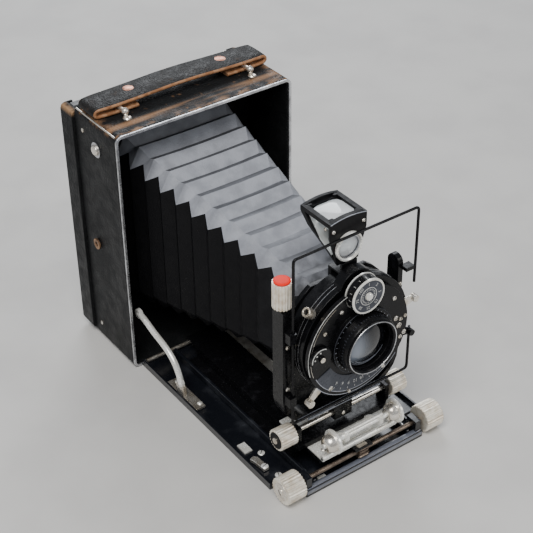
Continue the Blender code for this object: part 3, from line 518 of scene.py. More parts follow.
    def done(self, body, slot, replaces=(), bevel=0.0, angle=35, ride=True):
        """Makes the object, in its place; when ride is set, parents it to the empty of its body, and hides
        the CAD parts it replaces.
        """
        bmesh.ops.recalc_face_normals(self.bm, faces=self.bm.faces)
        for vertex in self.bm.verts:
            vertex.co = place(*vertex.co)
        mesh = bpy.data.meshes.new(self.name)
        self.bm.to_mesh(mesh)
        self.bm.free()
        for look in self.looks:
            mesh.materials.append(look)
        mesh.shade_smooth()
        mesh.set_sharp_from_angle(angle=math.radians(angle))
        piece = bpy.data.objects.new(self.name, mesh)
        bpy.context.scene.collection.objects.link(piece)
        if bevel:
            ease_edges(piece, bevel)
        if ride:
            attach(piece, body)
        if replaces:
            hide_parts(*replaces)
        return piece


def ease_edges(piece, width, segments=2, angle=32):
    """Rounds the sharp edges by a width in millimetres."""
    modifier = piece.modifiers.new("edges", "BEVEL")
    modifier.width = width * MM
    modifier.segments = segments
    modifier.limit_method = "ANGLE"
    modifier.angle_limit = math.radians(angle)
    modifier.harden_normals = True


BODY_OF = {node: body for body, nodes in frame["record"]["behaviour"]["bodies"].items() for node in nodes}


WELD = 0.000004


def refine(node, look, bevel=0.0):
    """The CAD node's own shape, welded, smoothed and with eased edges, in its own material."""
    bm = bmesh.new()
    bm.from_mesh(frame["nodes"][node].data)
    bmesh.ops.remove_doubles(bm, verts=bm.verts, dist=WELD)
    bmesh.ops.dissolve_limit(bm, angle_limit=math.radians(1), verts=bm.verts, edges=bm.edges)
    mesh = bpy.data.meshes.new(node + "_shown")
    bm.to_mesh(mesh)
    bm.free()
    mesh.materials.clear()
    mesh.materials.append(look)
    for polygon in mesh.polygons:
        polygon.material_index = 0
    mesh.shade_smooth()
    mesh.set_sharp_from_angle(angle=math.radians(35))
    piece = bpy.data.objects.new(node + "_shown", mesh)
    bpy.context.scene.collection.objects.link(piece)
    if bevel:
        ease_edges(piece, bevel)
    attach(piece, BODY_OF[node])
    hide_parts(node)
    return piece


# ---------------------------------------------------------------- the CAD's own shapes, finished
REFINED = {
    "body_shell": (CASE, 0.5),
    "front_rim": (RIM_METAL, 0.3),
    "rear_bulkhead": (MATTE_BLACK, 0.2),
    "tripod_bush": (BUSH_BRASS, 0.2),
    "side_tripod_bush": (BUSH_BRASS, 0.2),
    "bed_release_button": (NICKEL, 0.2),
    "back_frame": (BACK, 0.4),
    "ground_glass_frame": (LACQUER, 0.3),
    "ground_glass": (GROUND_GLASS, 0.1),
    "hood_cover": (CASE, 0.3),
    "hood_hinge_pin": (NICKEL, 0.1),
    "bed_plate": (BED_GLOSS, 0.35),
    "bed_hinge_pin": (STEEL, 0.1),
    "bed_rail_left": (BED_GLOSS, 0.3),
    "bed_rail_right": (BED_GLOSS, 0.3),
    "strut_foot_left": (NICKEL, 0.2),
    "strut_foot_right": (NICKEL, 0.2),
    "bed_lock_lever": (NICKEL, 0.4),
    "pinion_shaft": (DARK_STEEL, 0.08),
    "focus_knob_left": (CREAM_NICKEL, 0.15),
    "focus_knob_right": (CREAM_NICKEL, 0.15),
    "carriage_plate": (LACQUER, 0.2),
    "focus_rack": (STEEL, 0.0),
    "standard_base": (LIT_NICKEL, 0.35),
    "shift_base": (LACQUER, 0.4),
    "shift_screw": (NICKEL, 0.1),
    "shift_knob_left": (CREAM_NICKEL, 0.15),
    "shift_knob_right": (CREAM_NICKEL, 0.15),
    "grip_bracket": (LIT_NICKEL, 0.3),
    "u_frame": (LACQUER, 0.5),
    "rise_knob": (CREAM_NICKEL, 0.2),
    "lens_board": (LACQUER, 0.2),
    "shutter_housing": (LACQUER, 0.5),
    "shutter_plate": (LACQUER, 0.3),
    "mode_disc": (LACQUER, 0.25),
    "aperture_lever": (NICKEL, 0.2),
    "cocking_lever": (NICKEL, 0.2),
    "release_lever": (LACQUER, 0.2),
    "cable_socket": (NICKEL, 0.3),
    "iris_diaphragm": (MATTE_BLACK, 0.1),
    "rear_lens_cell": (BUSH_BRASS, 0.2),
    "finder_bracket": (LACQUER, 0.2),
    "finder_mirror": (MIRROR, 0.05),
    "finder_body": (MATTE_BLACK, 0.3),
}
for node_name, (node_look, node_bevel) in REFINED.items():
    refine(node_name, node_look, node_bevel)


# ---------------------------------------------------------------- bellows
def bellows_ring(turn):
    """The bellows' section at a number of half folds from the rear: 0 is a valley, 1 a ridge, and so on."""
    share = turn / (2 * FOLDS)
    wave = 1 - abs(turn % 2 - 1)
    ridge = math.sin(wave * math.pi / 2) ** 0.9 if wave > 0.75 else wave * 1.02
    ridge = min(ridge, 1.0)
    y = BELLOWS_REAR + (BELLOWS_FRONT - BELLOWS_REAR) * share
    half_w = 38.0 - 19.8 * share + ridge * (4.6 - 1.6 * share)
    half_h = 54.5 - 29.7 * share + ridge * (4.4 - 1.4 * share)
    centre_z = 80.0 + (AXIS_Z - 80.0) * share
    chamfer_x = 4.6 + 2.2 * ridge
    chamfer_z = 2.2 + (10.4 - 3.4 * share) * ridge
    ring = []
    for sx, sz in ((1, -1), (1, 1), (-1, 1), (-1, -1)):
        first = (sx * half_w, sz * (half_h - chamfer_z))
        second = (sx * (half_w - chamfer_x), sz * half_h)
        for x, z in ((first, second) if sx * sz > 0 else (second, first)):
            ring.append((x, y, centre_z + z))
    sag = 0.5 * math.sin(turn * 1.7) + 0.3 * math.sin(turn * 4.1 + 1)
    top_first = ring[3]
    top_last = ring[4]
    for step in (1, 2, 3):
        part = step / 4
        drop = math.sin(part * math.pi) * (0.6 + sag * 0.4)
        x = top_first[0] + (top_last[0] - top_first[0]) * part
        ring.insert(3 + step, (x, y, top_first[2] - drop))
    return ring


def bellows_part(name, start, end, rear_body, front_body):
    """A stretch of the pleated bellows, from one count of half folds to another, as one fixed mesh that rides
    on no body.
    """
    steps = max(2, round((end - start) * 4))
    rings = [bellows_ring(start + (end - start) * step / steps) for step in range(steps + 1)]
    count = len(rings[0])
    piece = Piece(name, BELLOWS)
    points = [point for ring in rings for point in ring]
    faces = []
    for index in range(steps):
        for corner in range(count):
            after = (corner + 1) % count
            near = index * count
            far = near + count
            faces.append((near + corner, near + after, far + after, far + corner))
    piece.shape(points, faces)
    made = piece.done(None, "bellows_cloth", angle=14, ride=False)
    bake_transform(made)
    return made


STRETCHES = (
    ("bellows_rear", 0, 4, "camera_body", "focus_carriage"),
    ("bellows_middle", 4, 23, "focus_carriage", "standard"),
    ("bellows_front", 23, 23.5, "standard", "u_standard"),
    ("bellows_end", 23.5, 24, "u_standard", "lens_panel"),
)
for index, stretch in enumerate(STRETCHES):
    made = bellows_part(*stretch)
    if index == 1:
        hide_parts("bellows")


# ---------------------------------------------------------------- bed
def smooth_route(points, steps=6):
    """A soft line through the points."""
    route = [Vector(point) for point in points]
    fine = []
    for index in range(len(route) - 1):
        before = route[max(index - 1, 0)]
        first = route[index]
        second = route[index + 1]
        after = route[min(index + 2, len(route) - 1)]
        for step in range(steps):
            t = step / steps
            fine.append(0.5 * (2 * first + (second - before) * t
                               + (2 * before - 5 * first + 4 * second - after) * t * t
                               + (3 * first - before - 3 * second + after) * t ** 3))
    fine.append(route[-1])
    return fine


for side, sign in (("left", -1), ("right", 1)):
    strut_x = sign * STRUT_X
    strut = Piece("bed_strut_%s_shown" % side, LIT_NICKEL, STEEL)
    strut.tube(smooth_route([
        (strut_x, 3, 35.5), (strut_x, -4, 34.2), (strut_x, -13, 31.2), (strut_x, -21, 29.3),
        (strut_x, -29, 26.6), (strut_x, -35, 22.4), (strut_x, -38.8, 17), (strut_x, -40.6, 12.6),
    ]), 1.9)
    strut.disc((strut_x, 3, 35.5), 3.1, 2.6, "x")
    strut.disc((strut_x, -40.6, 11.4), 2.8, 2.4, "x")
    strut.screw((strut_x + sign * 1.1, -40.6, 11.4), 1.6, (sign, 0, 0), 20, 0, 1)
    strut.done("camera_body", "nickel", ["bed_strut_" + side])

# Light blue-grey colour on the black bar: painted highlight.
front_bar = Piece("bed_front_bar", BAR_PAINTED_HIGHLIGHT)
bar_profile = [polar(BAR_R, 15 * step) for step in range(24)]
bar_rings = []
for x in (-BED_NOSE_HALF_W, -BED_NOSE_HALF_W + 0.6, BED_NOSE_HALF_W - 0.6, BED_NOSE_HALF_W):
    scale = 0.8 if abs(x) == BED_NOSE_HALF_W else 1.0
    bar_rings += [(x, BAR_Y + scale * y, BAR_Z + scale * z) for y, z in bar_profile]
bar_faces = [tuple(reversed(range(24))), tuple(range(72, 96))]
for ring in range(3):
    for step in range(24):
        after = (step + 1) % 24
        near = ring * 24
        far = near + 24
        bar_faces.append((near + step, near + after, far + after, far + step))
front_bar.shape(bar_rings, bar_faces)
front_bar.done("camera_body", "black_lacquer")

fittings = Piece("bed_fittings", LIT_NICKEL, MATTE_BLACK)
for x, y, turn in ((-47.5, -120, 10), (-44, -128, 70), (-41.5, -108.3, 40), (44.5, -124, 25), (47, -112, 80)):
    fittings.screw((x, y, 4.2 if x == -47.5 else 1.7), 2.0, (0, 0, 1), turn)
fittings.box((-49.5, -104, 1.7), (-44.5, -96, 2.6))
fittings.box((-29, -145.5, 1.7), (-24, -142.8, 3.0))
fittings.box((33.9, -141, 1.7), (36.4, -137, 3.2))
for x in (-46.9, 46.9):
    for y in (-30.5, -54.5):
        fittings.screw((x, y, 3.4), 1.5, (0, 0, 1), 15 + y)
fittings.done("camera_body", "nickel")

knob_ends = Piece("focus_knob_ends", NICKEL, MATTE_BLACK)
for sign in (-1, 1):
    knob_ends.disc((sign * 54.55, PINION_Y, PINION_Z), 5.4, 0.5, "x", 0, 48, 0.2)
    knob_ends.screw((sign * 54.7, PINION_Y, PINION_Z), 2.0, (sign, 0, 0), 35)
knob_ends.done("focus_pinion", "nickel")

shift_ends = Piece("shift_knob_ends", NICKEL, MATTE_BLACK)
for sign in (-1, 1):
    shift_ends.disc((sign * 43.85, SHIFT_Y, SHIFT_Z), 5.0, 0.4, "x", 1 if sign < 0 else 0, 40, 0.15)
    shift_ends.disc((sign * 44.3, SHIFT_Y, SHIFT_Z), 1.9, 1.2, "x", 0, 24, 0.3)
shift_ends.done("shift_drive", "nickel")


# ---------------------------------------------------------------- standard: clamp plate, grips
clamp = Piece("clamp_plate", NICKEL, MATTE_BLACK, LIT_NICKEL)
clamp.tube([(-26, -143.3, 15.7), (26, -143.3, 15.7)], 1.6, 2)
for x in (-16.5, 16.5, -20.5, 20.5):
    clamp.screw((x, -137.5, 14.7), 1.4, (0, 0, 1), 10 * x)
clamp.tube([(-13.2, -145.6, 28.6), (13.2, -145.6, 28.6)], 0.9, 2)
# Black discs for the holes in the plate: painted shade.
for x in (-7.5, 7.5):
    clamp.lathe([(0, 0.1), (0, 1.7), (0.3, 1.7), (0.3, 0.1)], (x, -138, 17.2), "z", 1, 24)
clamp.screw((0, -138, 17.2), 1.8, (0, 0, 1), 50)
clamp.done("standard", "nickel")

for side, x in (("left", -22.4), ("right", 20.4)):
    grip = Piece("finger_grip_%s_shown" % side, NICKEL, LIT_NICKEL)
    cup = [(-3.6, 1.8), (-3.6, 2.5), (-3.2, 3.5), (-2.4, 4.4), (-1.2, 5.0), (0.4, 5.3),
           (2.2, 5.4), (2.2, 1.8)]
    grip.lathe(cup, (x, GRIP_Y, GRIP_Z), "x")
    flange = [(1.9, 1.8), (1.9, 6.9), (2.2, 7.2), (3.3, 7.2), (3.6, 6.9), (3.6, 5.6), (3.1, 5.2), (3.1, 3.0),
              (3.6, 2.6), (3.6, 1.8)]
    grip.lathe(flange, (x, GRIP_Y, GRIP_Z), "x", 1)
    grip.done("grip_" + side, "nickel", ["finger_grip_" + side])

u_details = Piece("u_frame_details", NICKEL, MATTE_BLACK, LINE_GREY)
# The two light grey lines along the U-frame's bottom bar are painted highlights.
u_details.tube([(-31, -128.2, 34.3), (31, -128.2, 34.3)], 1.15, 2)
u_details.tube([(-24, -128.2, 31.7), (26, -128.2, 31.7)], 0.5, 2)
for x, z in ((-37.9, 60), (-37.9, 88), (36.8, 60), (36.8, 96)):
    u_details.screw((x, -128.0, z), 1.3, (0, -1, 0), 3 * z)
u_details.screw((38.4, -123.5, 109), 2.0, (1, 0, 0), 20)
u_details.disc((0, -128.7, 24.4), 1.2, 0.6, "y", 0, 20)
u_details.done("u_standard", "black_lacquer")

cap = Piece("rise_knob_cap_shown", RED)
cap_profile = [(0, 0), (0, 4.5), (0.45, 4.5), (0.75, 4.1), (0.85, 3.0), (0.85, 0)]
cap.lathe(cap_profile, (RISE_X, STANDARD_Y, RISE_TOP), "z")
cap.done("rise_drive", "red_enamel", ["rise_knob_cap"])


# ---------------------------------------------------------------- wire finder
def rounded_corner(before, corner, after, reach, steps=6):
    """Points that round off a corner between two others."""
    corner = Vector(corner)
    start = corner + (Vector(before) - corner).normalized() * reach
    end = corner + (Vector(after) - corner).normalized() * reach
    points = []
    for step in range(steps + 1):
        t = step / steps
        points.append((1 - t) ** 2 * start + 2 * t * (1 - t) * corner + t * t * end)
    return points


wire_corners = [(WIRE_RIGHT, 96.5), (WIRE_RIGHT, WIRE_HIGH), (WIRE_LEFT, WIRE_HIGH), (WIRE_LEFT, WIRE_LOW),
                (WIRE_RIGHT - 1.4, WIRE_LOW), (WIRE_RIGHT - 1.4, 67.0)]
wire_route = [Vector(wire_corners[0])]
for before, corner, after in zip(wire_corners, wire_corners[1:], wire_corners[2:]):
    wire_route += rounded_corner(before, corner, after, 2.4)
wire_route.append(Vector(wire_corners[-1]))
wire = Piece("wire_frame_shown", LACQUER)
wire.tube([(point.x, WIRE_Y, point.y) for point in wire_route], WIRE_R, 0, 16)
wire.done("wire_finder", "black_lacquer", ["wire_frame"])


# ---------------------------------------------------------------- lens
barrel = Piece("lens_barrel_shown", LACQUER, RIM_METAL, SCALE_BLUE, MATTE_BLACK)
tube_profile = [(-27.2, 14.4), (-27.2, 15.4), (-26.8, 16.6), (-25.8, 17.0), (0, 17.0), (0, 14.4)]
rim_profile = [(-28.0, 15.0), (-28.0, 15.9), (-27.6, 16.3), (-26.6, 16.3), (-26.6, 14.3), (-27.2, 14.3)]
for profile in (tube_profile, rim_profile):
    barrel.lathe(profile, (0, BARREL_REAR, AXIS_Z), "y", 0, 96)
# A thin light ring on the black rim: painted highlight.
barrel.ring((0, -150.95, AXIS_Z), 15.5, 0.28, "y", 1, 96)
for radius, y in ((14.2, -147.4), (14.3, -142.4), (13.6, -139.0), (12.4, -136.0)):
    barrel.ring((0, y, AXIS_Z), radius, 0.22, "y", 3)
for step in range(60):
    angle = 6 * step
    long = 1.5 if step % 5 == 0 else 0.8
    turn = Matrix.Translation((0, 0, AXIS_Z)) @ Matrix.Rotation(math.radians(angle), 4, "Y")
    barrel.box((-0.12, -147.2, 16.96), (0.12, -147.2 + long, 17.04), 2, turn)
barrel.done("lens_panel", "black_lacquer", ["lens_barrel"])

lens = Piece("front_lens_shown", FRONT_GLASS, LINE_GREY)
front_curve = []
for step in range(13):
    reach = FRONT_LENS_R * step / 12
    front_curve.append((FRONT_LENS_SAG * (reach / FRONT_LENS_R) ** 2, reach))
lens_back = [(5.6, FRONT_LENS_R), (4.9, 8.0), (4.6, 0.0)]
lens.lathe(front_curve + lens_back, (0, FRONT_LENS_Y, AXIS_Z), "y", 0, 96)
# Grey arcs in the lower half of the glass: painted reflections.
for radius, start, end in ((13.5, 205, 330), (12.5, 215, 318), (11.4, 228, 300)):
    depth = FRONT_LENS_Y + 0.05 + FRONT_LENS_SAG * (radius / FRONT_LENS_R) ** 2
    lens.sector((0, AXIS_Z), radius - 0.13, radius + 0.13, start, end, depth + 0.2, depth - 0.12, 1, 40)
lens.done("lens_panel", "glass", ["front_lens"], angle=50)

inner = Piece("inner_lens", LENS_GLASS, MATTE_BLACK, RIM_METAL)
inner.lathe([(0, 0), (0.3, 5), (1.2, 10.5), (3.0, 10.5), (3.0, 0)], (0, -139.5, AXIS_Z), "y", 0, 64)
inner.lathe([(0, 10.6), (0, 13.9), (3.2, 13.9), (3.2, 10.6)], (0, -139.6, AXIS_Z), "y", 1, 64)
inner.ring((0, -139.7, AXIS_Z), 10.7, 0.18, "y", 2)
inner.lathe([(0, 0), (0, 13.9), (0.5, 13.9), (0.5, 0)], (0, -131.0, AXIS_Z), "y", 1, 48)
inner.done("lens_panel", "glass")


# ---------------------------------------------------------------- shutter face
marks = Piece("shutter_marks_and_painted_highlights", WHITE_PAINT, NICKEL, SCALE_BLUE, MATTE_BLACK, LINE_GREY)
# The arcs near the plate's rim (white and nickel at the upper left, grey along the bottom and on the edge of
# the scale plate) and the blue-grey ring round the name ring are painted highlights; the numbers and ticks
# are print.
marks.sector((PLATE_X, PLATE_Z), 32.7, 33.1, 96, 196, PLATE_FRONT + 0.1, PLATE_FRONT - 0.05, 0, 60)
marks.sector((PLATE_X, PLATE_Z), 31.2, 31.4, 120, 200, PLATE_FRONT + 0.1, PLATE_FRONT - 0.04, 1, 60)
marks.ring((0, NAME_RING_FRONT, AXIS_Z), 19.3, 0.12, "y", 2, 96)
marks.sector((PLATE_X, PLATE_Z), 20.6, 30.6, 206, 306, PLATE_FRONT + 0.1, PLATE_FRONT - 0.45, 2, 48)
marks.sector((PLATE_X, PLATE_Z), 30.4, 30.8, 204, 308, PLATE_FRONT + 0.1, PLATE_FRONT - 0.5, 4, 48)
marks.sector((PLATE_X, PLATE_Z), 32.7, 33.1, 214, 322, PLATE_FRONT + 0.1, PLATE_FRONT - 0.05, 4, 48)
for index, text in enumerate(("4", "6", "9", "12", "18", "25", "36")):
    angle = 236 + 10 * index
    marks.number(text, (PLATE_X, PLATE_Z), 25.6, angle, 2.9, PLATE_FRONT - 0.5, 0)
    marks.sector((PLATE_X, PLATE_Z), 28.3, 29.4, angle - 0.25, angle + 0.25,
                 PLATE_FRONT - 0.4, PLATE_FRONT - 0.5, 0, 1)
for step in range(36):
    angle = 10 * step
    if 240 < angle < 300 or 60 < angle < 120:
        continue
    outer = 18.2 if step % 3 else 18.7
    marks.sector((0, AXIS_Z), 17.6, outer, angle - 0.5, angle + 0.5,
                 NAME_RING_FRONT + 0.1, NAME_RING_FRONT - 0.03, 4, 1)
marks.done("lens_panel", "black_lacquer")

grooves = Piece("housing_lines", RIM_METAL, MATTE_BLACK)
line_profile = [(0, HOUSING_R - 0.1), (0, HOUSING_R), (0.22, HOUSING_R), (0.22, HOUSING_R - 0.1)]
for y in (-130.6, -133.0):
    grooves.lathe(line_profile, (0, y, AXIS_Z), "y", 0, 120)
grooves.done("lens_panel", "black_lacquer")

screws = Piece("shutter_screws", NICKEL, MATTE_BLACK)
for x, z, radius, turn in (
    (23.4, 87.0, 1.5, 20), (26.8, 85.2, 1.2, 70), (29.9, 86.2, 1.1, 110), (25.8, 81.4, 1.7, 45),
    (29.6, 75.4, 1.4, 0), (27.0, 73.3, 1.2, 90), (-19.6, 60.5, 1.6, 30), (16.0, 58.5, 1.3, 60),
    (-24.0, 98.5, 1.2, 130), (-13.5, 107.6, 1.2, 15), (21.5, 101.0, 1.3, 75),
):
    screws.screw((x, PLATE_FRONT, z), radius, (0, -1, 0), turn)
screws.disc((-8.0, PLATE_FRONT - 0.9, 53.6), 0.9, 1.8, "y", 0, 16)
screws.done("lens_panel", "nickel")


# ---------------------------------------------------------------- speed dial and mode disc
dial = Piece("speed_dial_shown", LACQUER, NICKEL, LIT_NICKEL, SCALE_BLUE, MATTE_BLACK, WHITE_PAINT)
at_dial = (0, 0, DIAL_Z)
dial.lathe([(-144.9, 0), (-144.9, 10.1), (-140.2, 10.1), (-140.2, 0)], at_dial, "y", 0, 96)
dial_rim = [(DIAL_FRONT, 9.3), (DIAL_FRONT, 10.0), (-145.6, DIAL_R), (-145.2, DIAL_R), (-145.2, 9.3)]
dial.lathe(dial_rim, at_dial, "y", 2, 96)
dial.lathe([(-139.9, 9.0), (-139.9, DIAL_R), (-139.2, DIAL_R), (-139.2, 9.0)], at_dial, "y", 2, 96)
dial.lathe([(-145.6, 0), (-145.6, 9.4), (-144.8, 9.4), (-144.8, 0)], at_dial, "y", 3, 96)
dial.lathe([(-145.75, 4.9), (-145.75, 5.2), (-145.4, 5.2), (-145.4, 4.9)], at_dial, "y", 5, 64)
dial.lathe([(-147.1, 0), (-147.1, 1.6), (-146.7, 2.1), (-145.4, 2.3), (-145.4, 0)], at_dial, "y", 2, 40)
for index, text in enumerate(("1", "2", "5", "10", "25", "50", "75", "100")):
    dial.number(text, (0, DIAL_Z), 7.2, 90 - 45 * index, 2.5, -145.66, 5)
for step in range(24):
    dial.sector((0, DIAL_Z), 3.4, 4.3, 15 * step - 1.5, 15 * step + 1.5, -145.5, -145.7, 5, 1)
for step in range(16):
    turn = Matrix.Translation((0, 0, DIAL_Z)) @ Matrix.Rotation(math.radians(22.5 * step), 4, "Y")
    dial.box((-0.1, -143.4 if step % 2 else -144.0, 10.0), (0.1, -142.2, 10.12), 5, turn)
dial.done("speed_dial", "nickel", ["speed_dial"])

mode = Piece("mode_disc_marks", WHITE_PAINT, NICKEL)
mode_front = PLATE_FRONT - 2.3
mode.sector((MODE_X, MODE_Z), 5.6, 6.2, 60, 190, mode_front + 0.1, mode_front - 0.05, 0, 30)
for angle in (100, 135, 170):
    x, z = polar(4.2, angle)
    mode.disc((MODE_X + x, mode_front, MODE_Z + z), 0.5, 0.12, "y", 0, 12, 0.02)
mode.disc((MODE_X, PLATE_FRONT - 3.2, MODE_Z), 1.7, 1.2, "y", 1, 24, 0.3)
mode.done("mode_disc", "nickel")

# A black plug in the cable socket's hole: painted shade.
bore = Piece("cable_socket_bore", MATTE_BLACK)
x, z = polar(36.5, 139)
outwards = Vector((0, 0, 1)).rotation_difference(Vector((x, 0, z))).to_matrix().to_4x4()
bore.lathe([(0, 0), (0, 1.45), (3.0, 1.45), (3.0, 0)], (x, -133.7, AXIS_Z + z), matrix=outwards)
bore.done("lens_panel", "black_lacquer")


# ---------------------------------------------------------------- brilliant finder
ring = Piece("finder_lens_ring_shown", NICKEL, RIM_METAL, LIT_NICKEL)
at_lens = (0, FINDER_FRONT - 2.0, FINDER_LENS_Z)
ring.lathe([(0.5, 6.9), (0, 7.5), (0, 8.1), (0.4, 8.5), (1.7, 8.5), (1.7, 6.9)], at_lens, "y", 2, 72)
ring.lathe([(0.8, 6.3), (0.8, 6.95), (1.6, 6.95), (1.6, 6.3)], at_lens, "y", 1, 72)
ring.done("lens_panel", "nickel", ["finder_lens_ring"])

finder_lens = Piece("finder_front_lens_shown", FINDER_GLASS)
finder_curve = [(0, 0), (0.2, 2.4), (0.7, 4.6), (1.6, 6.7), (2.4, 6.7), (2.4, 0)]
finder_lens.lathe(finder_curve, (0, FINDER_FRONT - 1.3, FINDER_LENS_Z), "y")
finder_lens.done("brilliant_finder", "glass", ["finder_front_lens"], angle=50)


def finder_top_glass():
    """The viewing lens: a square with notched corners, bulging upwards."""
    half_x = 8.6
    front = -125.2
    back = -108.0
    notch = 2.0
    steps = 12
    piece = Piece("finder_top_lens_shown", FINDER_GLASS)
    middle = (front + back) / 2
    half_y = (back - front) / 2
    grid = []
    for row in range(steps + 1):
        for column in range(steps + 1):
            u = -1 + 2 * column / steps
            v = -1 + 2 * row / steps
            bulge = 1.5 * (1 - u * u) * (1 - v * v) ** 0.5 if abs(v) < 1 else 0
            corner = max(0.0, abs(u) + abs(v) - (2 - 2 * notch / half_x))
            shrink = 1 - corner * 0.28
            grid.append((u * half_x * shrink, middle + v * half_y * shrink, FINDER_TOP - 0.6 + bulge))
    count = len(grid)
    points = grid + [(x, y, FINDER_TOP - 1.5) for x, y, _ in grid]
    faces = []
    for row in range(steps):
        for column in range(steps):
            first = row * (steps + 1) + column
            quad = (first, first + 1, first + steps + 2, first + steps + 1)
            faces.append(quad)
            faces.append(tuple(count + index for index in reversed(quad)))
    rim = [column for column in range(steps + 1)]
    rim += [row * (steps + 1) + steps for row in range(1, steps + 1)]
    rim += [steps * (steps + 1) + column for column in range(steps - 1, -1, -1)]
    rim += [row * (steps + 1) for row in range(steps - 1, 0, -1)]
    for index, first in enumerate(rim):
        after = rim[(index + 1) % len(rim)]
        faces.append((first, after, count + after, count + first))
    piece.shape(points, faces)
    return piece.done("brilliant_finder", "glass", ["finder_top_lens"], angle=50)


finder_top_glass()

finder_frame = Piece("finder_frame", MATTE_BLACK, NICKEL, LACQUER, LINE_GREY)
for back, front in ((FINDER_FRONT + 2.8, FINDER_FRONT), (FINDER_BACK, FINDER_BACK - 2.0)):
    arch = [(-FINDER_HALF_W, FINDER_TOP - 0.2), (FINDER_HALF_W, FINDER_TOP - 0.2)]
    for step in range(13):
        x = FINDER_HALF_W * (1 - step / 6)
        arch.append((x, FINDER_TOP + 0.4 + 1.6 * (1 - (x / FINDER_HALF_W) ** 2)))
    finder_frame.plate(arch, back, front)
for sign in (-1, 1):
    low_x, high_x = sorted((sign * 8.9, sign * FINDER_HALF_W))
    finder_frame.box((low_x, -127.8, FINDER_TOP - 0.2), (high_x, -103.8, FINDER_TOP + 0.7))
    notch_x, far_x = sorted((sign * 6.9, sign * 9.1))
    finder_frame.box((notch_x, -125.6, FINDER_TOP - 0.2), (far_x, -123.4, FINDER_TOP + 0.9))
    finder_frame.box((notch_x, -107.4, FINDER_TOP - 0.2), (far_x, -105.0, FINDER_TOP + 0.9))
# A grey line along the top edge of the front arch: painted highlight.
edge = []
for step in range(13):
    x = -11.5 + 23 * step / 12
    edge.append((x, -128.05, FINDER_TOP + 0.2 + 1.55 * (1 - (x / FINDER_HALF_W) ** 2)))
finder_frame.tube(edge, 0.22, 3, 8)
for sign in (-1, 1):
    finder_frame.screw((sign * 9.6, FINDER_FRONT, 147.6), 1.1, (0, -1, 0), 40 * sign, 1, 2)
    finder_frame.screw((sign * FINDER_HALF_W, -124.6, 148.6), 1.0, (sign, 0, 0), 20, 1, 2)
finder_frame.done("brilliant_finder", "black_lacquer", bevel=0.1)


# ---------------------------------------------------------------- handle
def build_strap():
    """The handle: a flat leather strap that doubles back under itself at both ends."""
    low = BODY_TOP + 1.3
    high = BODY_TOP + 5.4
    left_end = [(-30, low), (-53, low), (-56.4, low + 0.5), (-57.5, (low + high) / 2),
                (-56.4, high - 0.4), (-53, high)]
    crown = [(-44, high + 0.1), (-34, high + 0.3), (-22, high + 0.7), (-8, high + 1.2)]
    line = [(x, 0, z) for x, z in left_end + crown]
    line += [(-x, 0, z) for x, _, z in reversed(line)]
    route = smooth_route(line, 5)
    half = STRAP_WIDTH / 2
    thick = STRAP_THICK / 2
    section = [(-half, -thick * 0.5), (-half, thick * 0.5), (-half + 0.8, thick), (-half * 0.4, thick * 1.25),
               (half * 0.4, thick * 1.25), (half - 0.8, thick), (half, thick * 0.5), (half, -thick * 0.5),
               (half - 0.5, -thick), (-half + 0.5, -thick)]
    outer_faces = (2, 3, 4)
    strap = Piece("handle_strap_shown", STRAP_TOP, STRAP_RAW)
    points = []
    for index, point in enumerate(route):
        along = (route[min(index + 1, len(route) - 1)] - route[max(index - 1, 0)]).normalized()
        outward = Vector((-along.z, 0, along.x))
        narrow = 1 - 0.07 * math.exp(-((abs(point.x) - 57) / 6) ** 2)
        for across, out in section:
            points.append(point + outward * out + Vector((0, STRAP_MIDDLE_Y + across * narrow, 0)))
    count = len(section)
    made = strap.shape(points, [])
    for index in range(len(route) - 1):
        for corner in range(count):
            after = (corner + 1) % count
            near = index * count
            face = strap.bm.faces.new([made[near + corner], made[near + after], made[near + count + after],
                                       made[near + count + corner]])
            face.material_index = 0 if corner in outer_faces else 1
    for ends in (made[:count], list(reversed(made[-count:]))):
        strap.bm.faces.new(ends).material_index = 1
    return strap.done("camera_body", "strap_leather", ["handle_strap"], angle=60)


build_strap()

handle_fittings = Piece("handle_fittings", NICKEL, COPPER, MATTE_BLACK)
for sign in (-1, 1):
    for y in (14.4, 43.0):
        handle_fittings.lathe([(0, 0), (0, 2.5), (0.5, 2.5), (1.1, 1.9), (1.3, 0)],
                              (sign * LUG_X, y - 0.3, BODY_TOP), "z", 0, 32)
for x, y in ((-29.5, 33.0), (32.0, 32.5)):
    handle_fittings.lathe([(0, 0), (0, 3.9), (0.4, 3.7), (0.9, 2.4), (1.0, 0)], (x, y, 165.9), "z", 1, 32)
for sign in (-1, 1):
    handle_fittings.lathe([(-2, 0), (-2, 1.2), (-1.2, 1.9), (0, 2.2), (1.2, 1.8), (2.0, 0.9), (2.2, 0)],
                          (sign * LUG_X, 16.0, BODY_TOP + 3.6), "z", 0, 32)
# A nickel rod half sunk into the case's top-left edge, on the left side only: a painted highlight along that
# edge.
handle_fittings.tube([(-57.9, 1.0, BODY_TOP - 1.05), (-57.9, 43.2, BODY_TOP - 1.05)], 0.55)
handle_fittings.done("camera_body", "nickel")

for side, sign in (("left", -1), ("right", 1)):
    lug_x = sign * LUG_X
    lug = Piece("handle_lug_%s_shown" % side, NICKEL)
    bar_z = BODY_TOP + 3.35
    lug.tube(smooth_route([(lug_x, 15.8, BODY_TOP + 0.3), (lug_x, 15.8, bar_z - 0.8), (lug_x, 16.7, bar_z),
                           (lug_x, 30, bar_z), (lug_x, 41.9, bar_z), (lug_x, 42.8, bar_z - 0.8),
                           (lug_x, 42.8, BODY_TOP + 0.3)], 3), 1.35)
    lug.done("camera_body", "nickel", ["handle_lug_" + side])

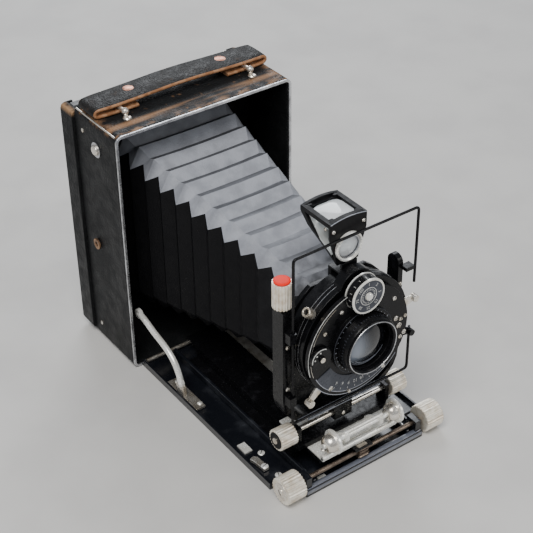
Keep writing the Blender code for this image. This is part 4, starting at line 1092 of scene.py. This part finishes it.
case_trim = Piece("case_trim", RIM_METAL, MATTE_BLACK, NICKEL)
case_trim.box((-52, -1.2, 1.2), (52, 0.2, 2.0))
for z in (12, 148):
    case_trim.screw((-BODY_HALF_W, 36.0, z), 1.3, (-1, 0, 0), 25, 2, 1)
    case_trim.screw((BODY_HALF_W, 36.0, z), 1.3, (1, 0, 0), 25, 2, 1)
case_trim.lathe([(0, 3.2), (0, 4.6), (0.5, 4.4), (0.5, 3.2)], (-BODY_HALF_W - 0.5, 21.5, 142), "x", 0, 40)
case_trim.done("camera_body", "nickel")


# ---------------------------------------------------------------- stage
def build_stage():
    """A pale floor, three soft lights and a grey sky."""
    look = Look("pale_floor")
    cloud = look.span(look.noise(60), 0.35, 0.7)
    look.put("Base Color", look.mix(cloud, (0.60, 0.59, 0.57), (0.55, 0.54, 0.525)))
    look.put("Roughness", look.span(look.noise(25), 0.3, 0.7, 0.6, 0.75))
    bpy.ops.mesh.primitive_plane_add(size=8, location=(0, 0, -0.0002))
    floor = bpy.context.object
    floor.name = "floor"
    floor.data.materials.append(look.material)

    for name, at, size, power, tint in (
        ("key", (-0.55, -0.45, 1.3), 0.8, 19.0, (1.0, 0.98, 0.95)),
        ("back", (0.55, 0.95, 0.85), 0.7, 9.0, (0.93, 0.96, 1.0)),
        ("front", (0.75, -1.05, 0.75), 0.5, 3.0, (1.0, 0.97, 0.93)),
    ):
        light = bpy.data.lights.new(name, "AREA")
        light.energy = power
        light.size = size
        light.color = tint
        holder = bpy.data.objects.new(name, light)
        holder.location = at
        holder.rotation_euler = (Vector((0, 0, 0.07)) - Vector(at)).to_track_quat("-Z", "Y").to_euler()
        bpy.context.scene.collection.objects.link(holder)

    world = bpy.data.worlds.new("studio")
    world.use_nodes = True
    sky = world.node_tree.nodes["Background"]
    sky.inputs["Color"].default_value = (0.82, 0.87, 0.95, 1)
    sky.inputs["Strength"].default_value = 0.4
    bpy.context.scene.world = world


def build_camera():
    """The view from the front left, 35 degrees above the floor."""
    data = bpy.data.cameras.new("camera")
    data.lens = 89.2
    data.sensor_width = 36
    camera = bpy.data.objects.new("camera", data)
    camera.location = (-0.3515, -0.50295, 0.5128)
    aim = Vector((0, -0.00955, 0.0825)) - camera.location
    turn = aim.to_track_quat("-Z", "Y").to_matrix() @ Matrix.Rotation(math.radians(-0.65), 3, "Z")
    camera.rotation_euler = turn.to_euler()
    bpy.context.scene.collection.objects.link(camera)
    bpy.context.scene.camera = camera


build_stage()
build_camera()
write_sizes()
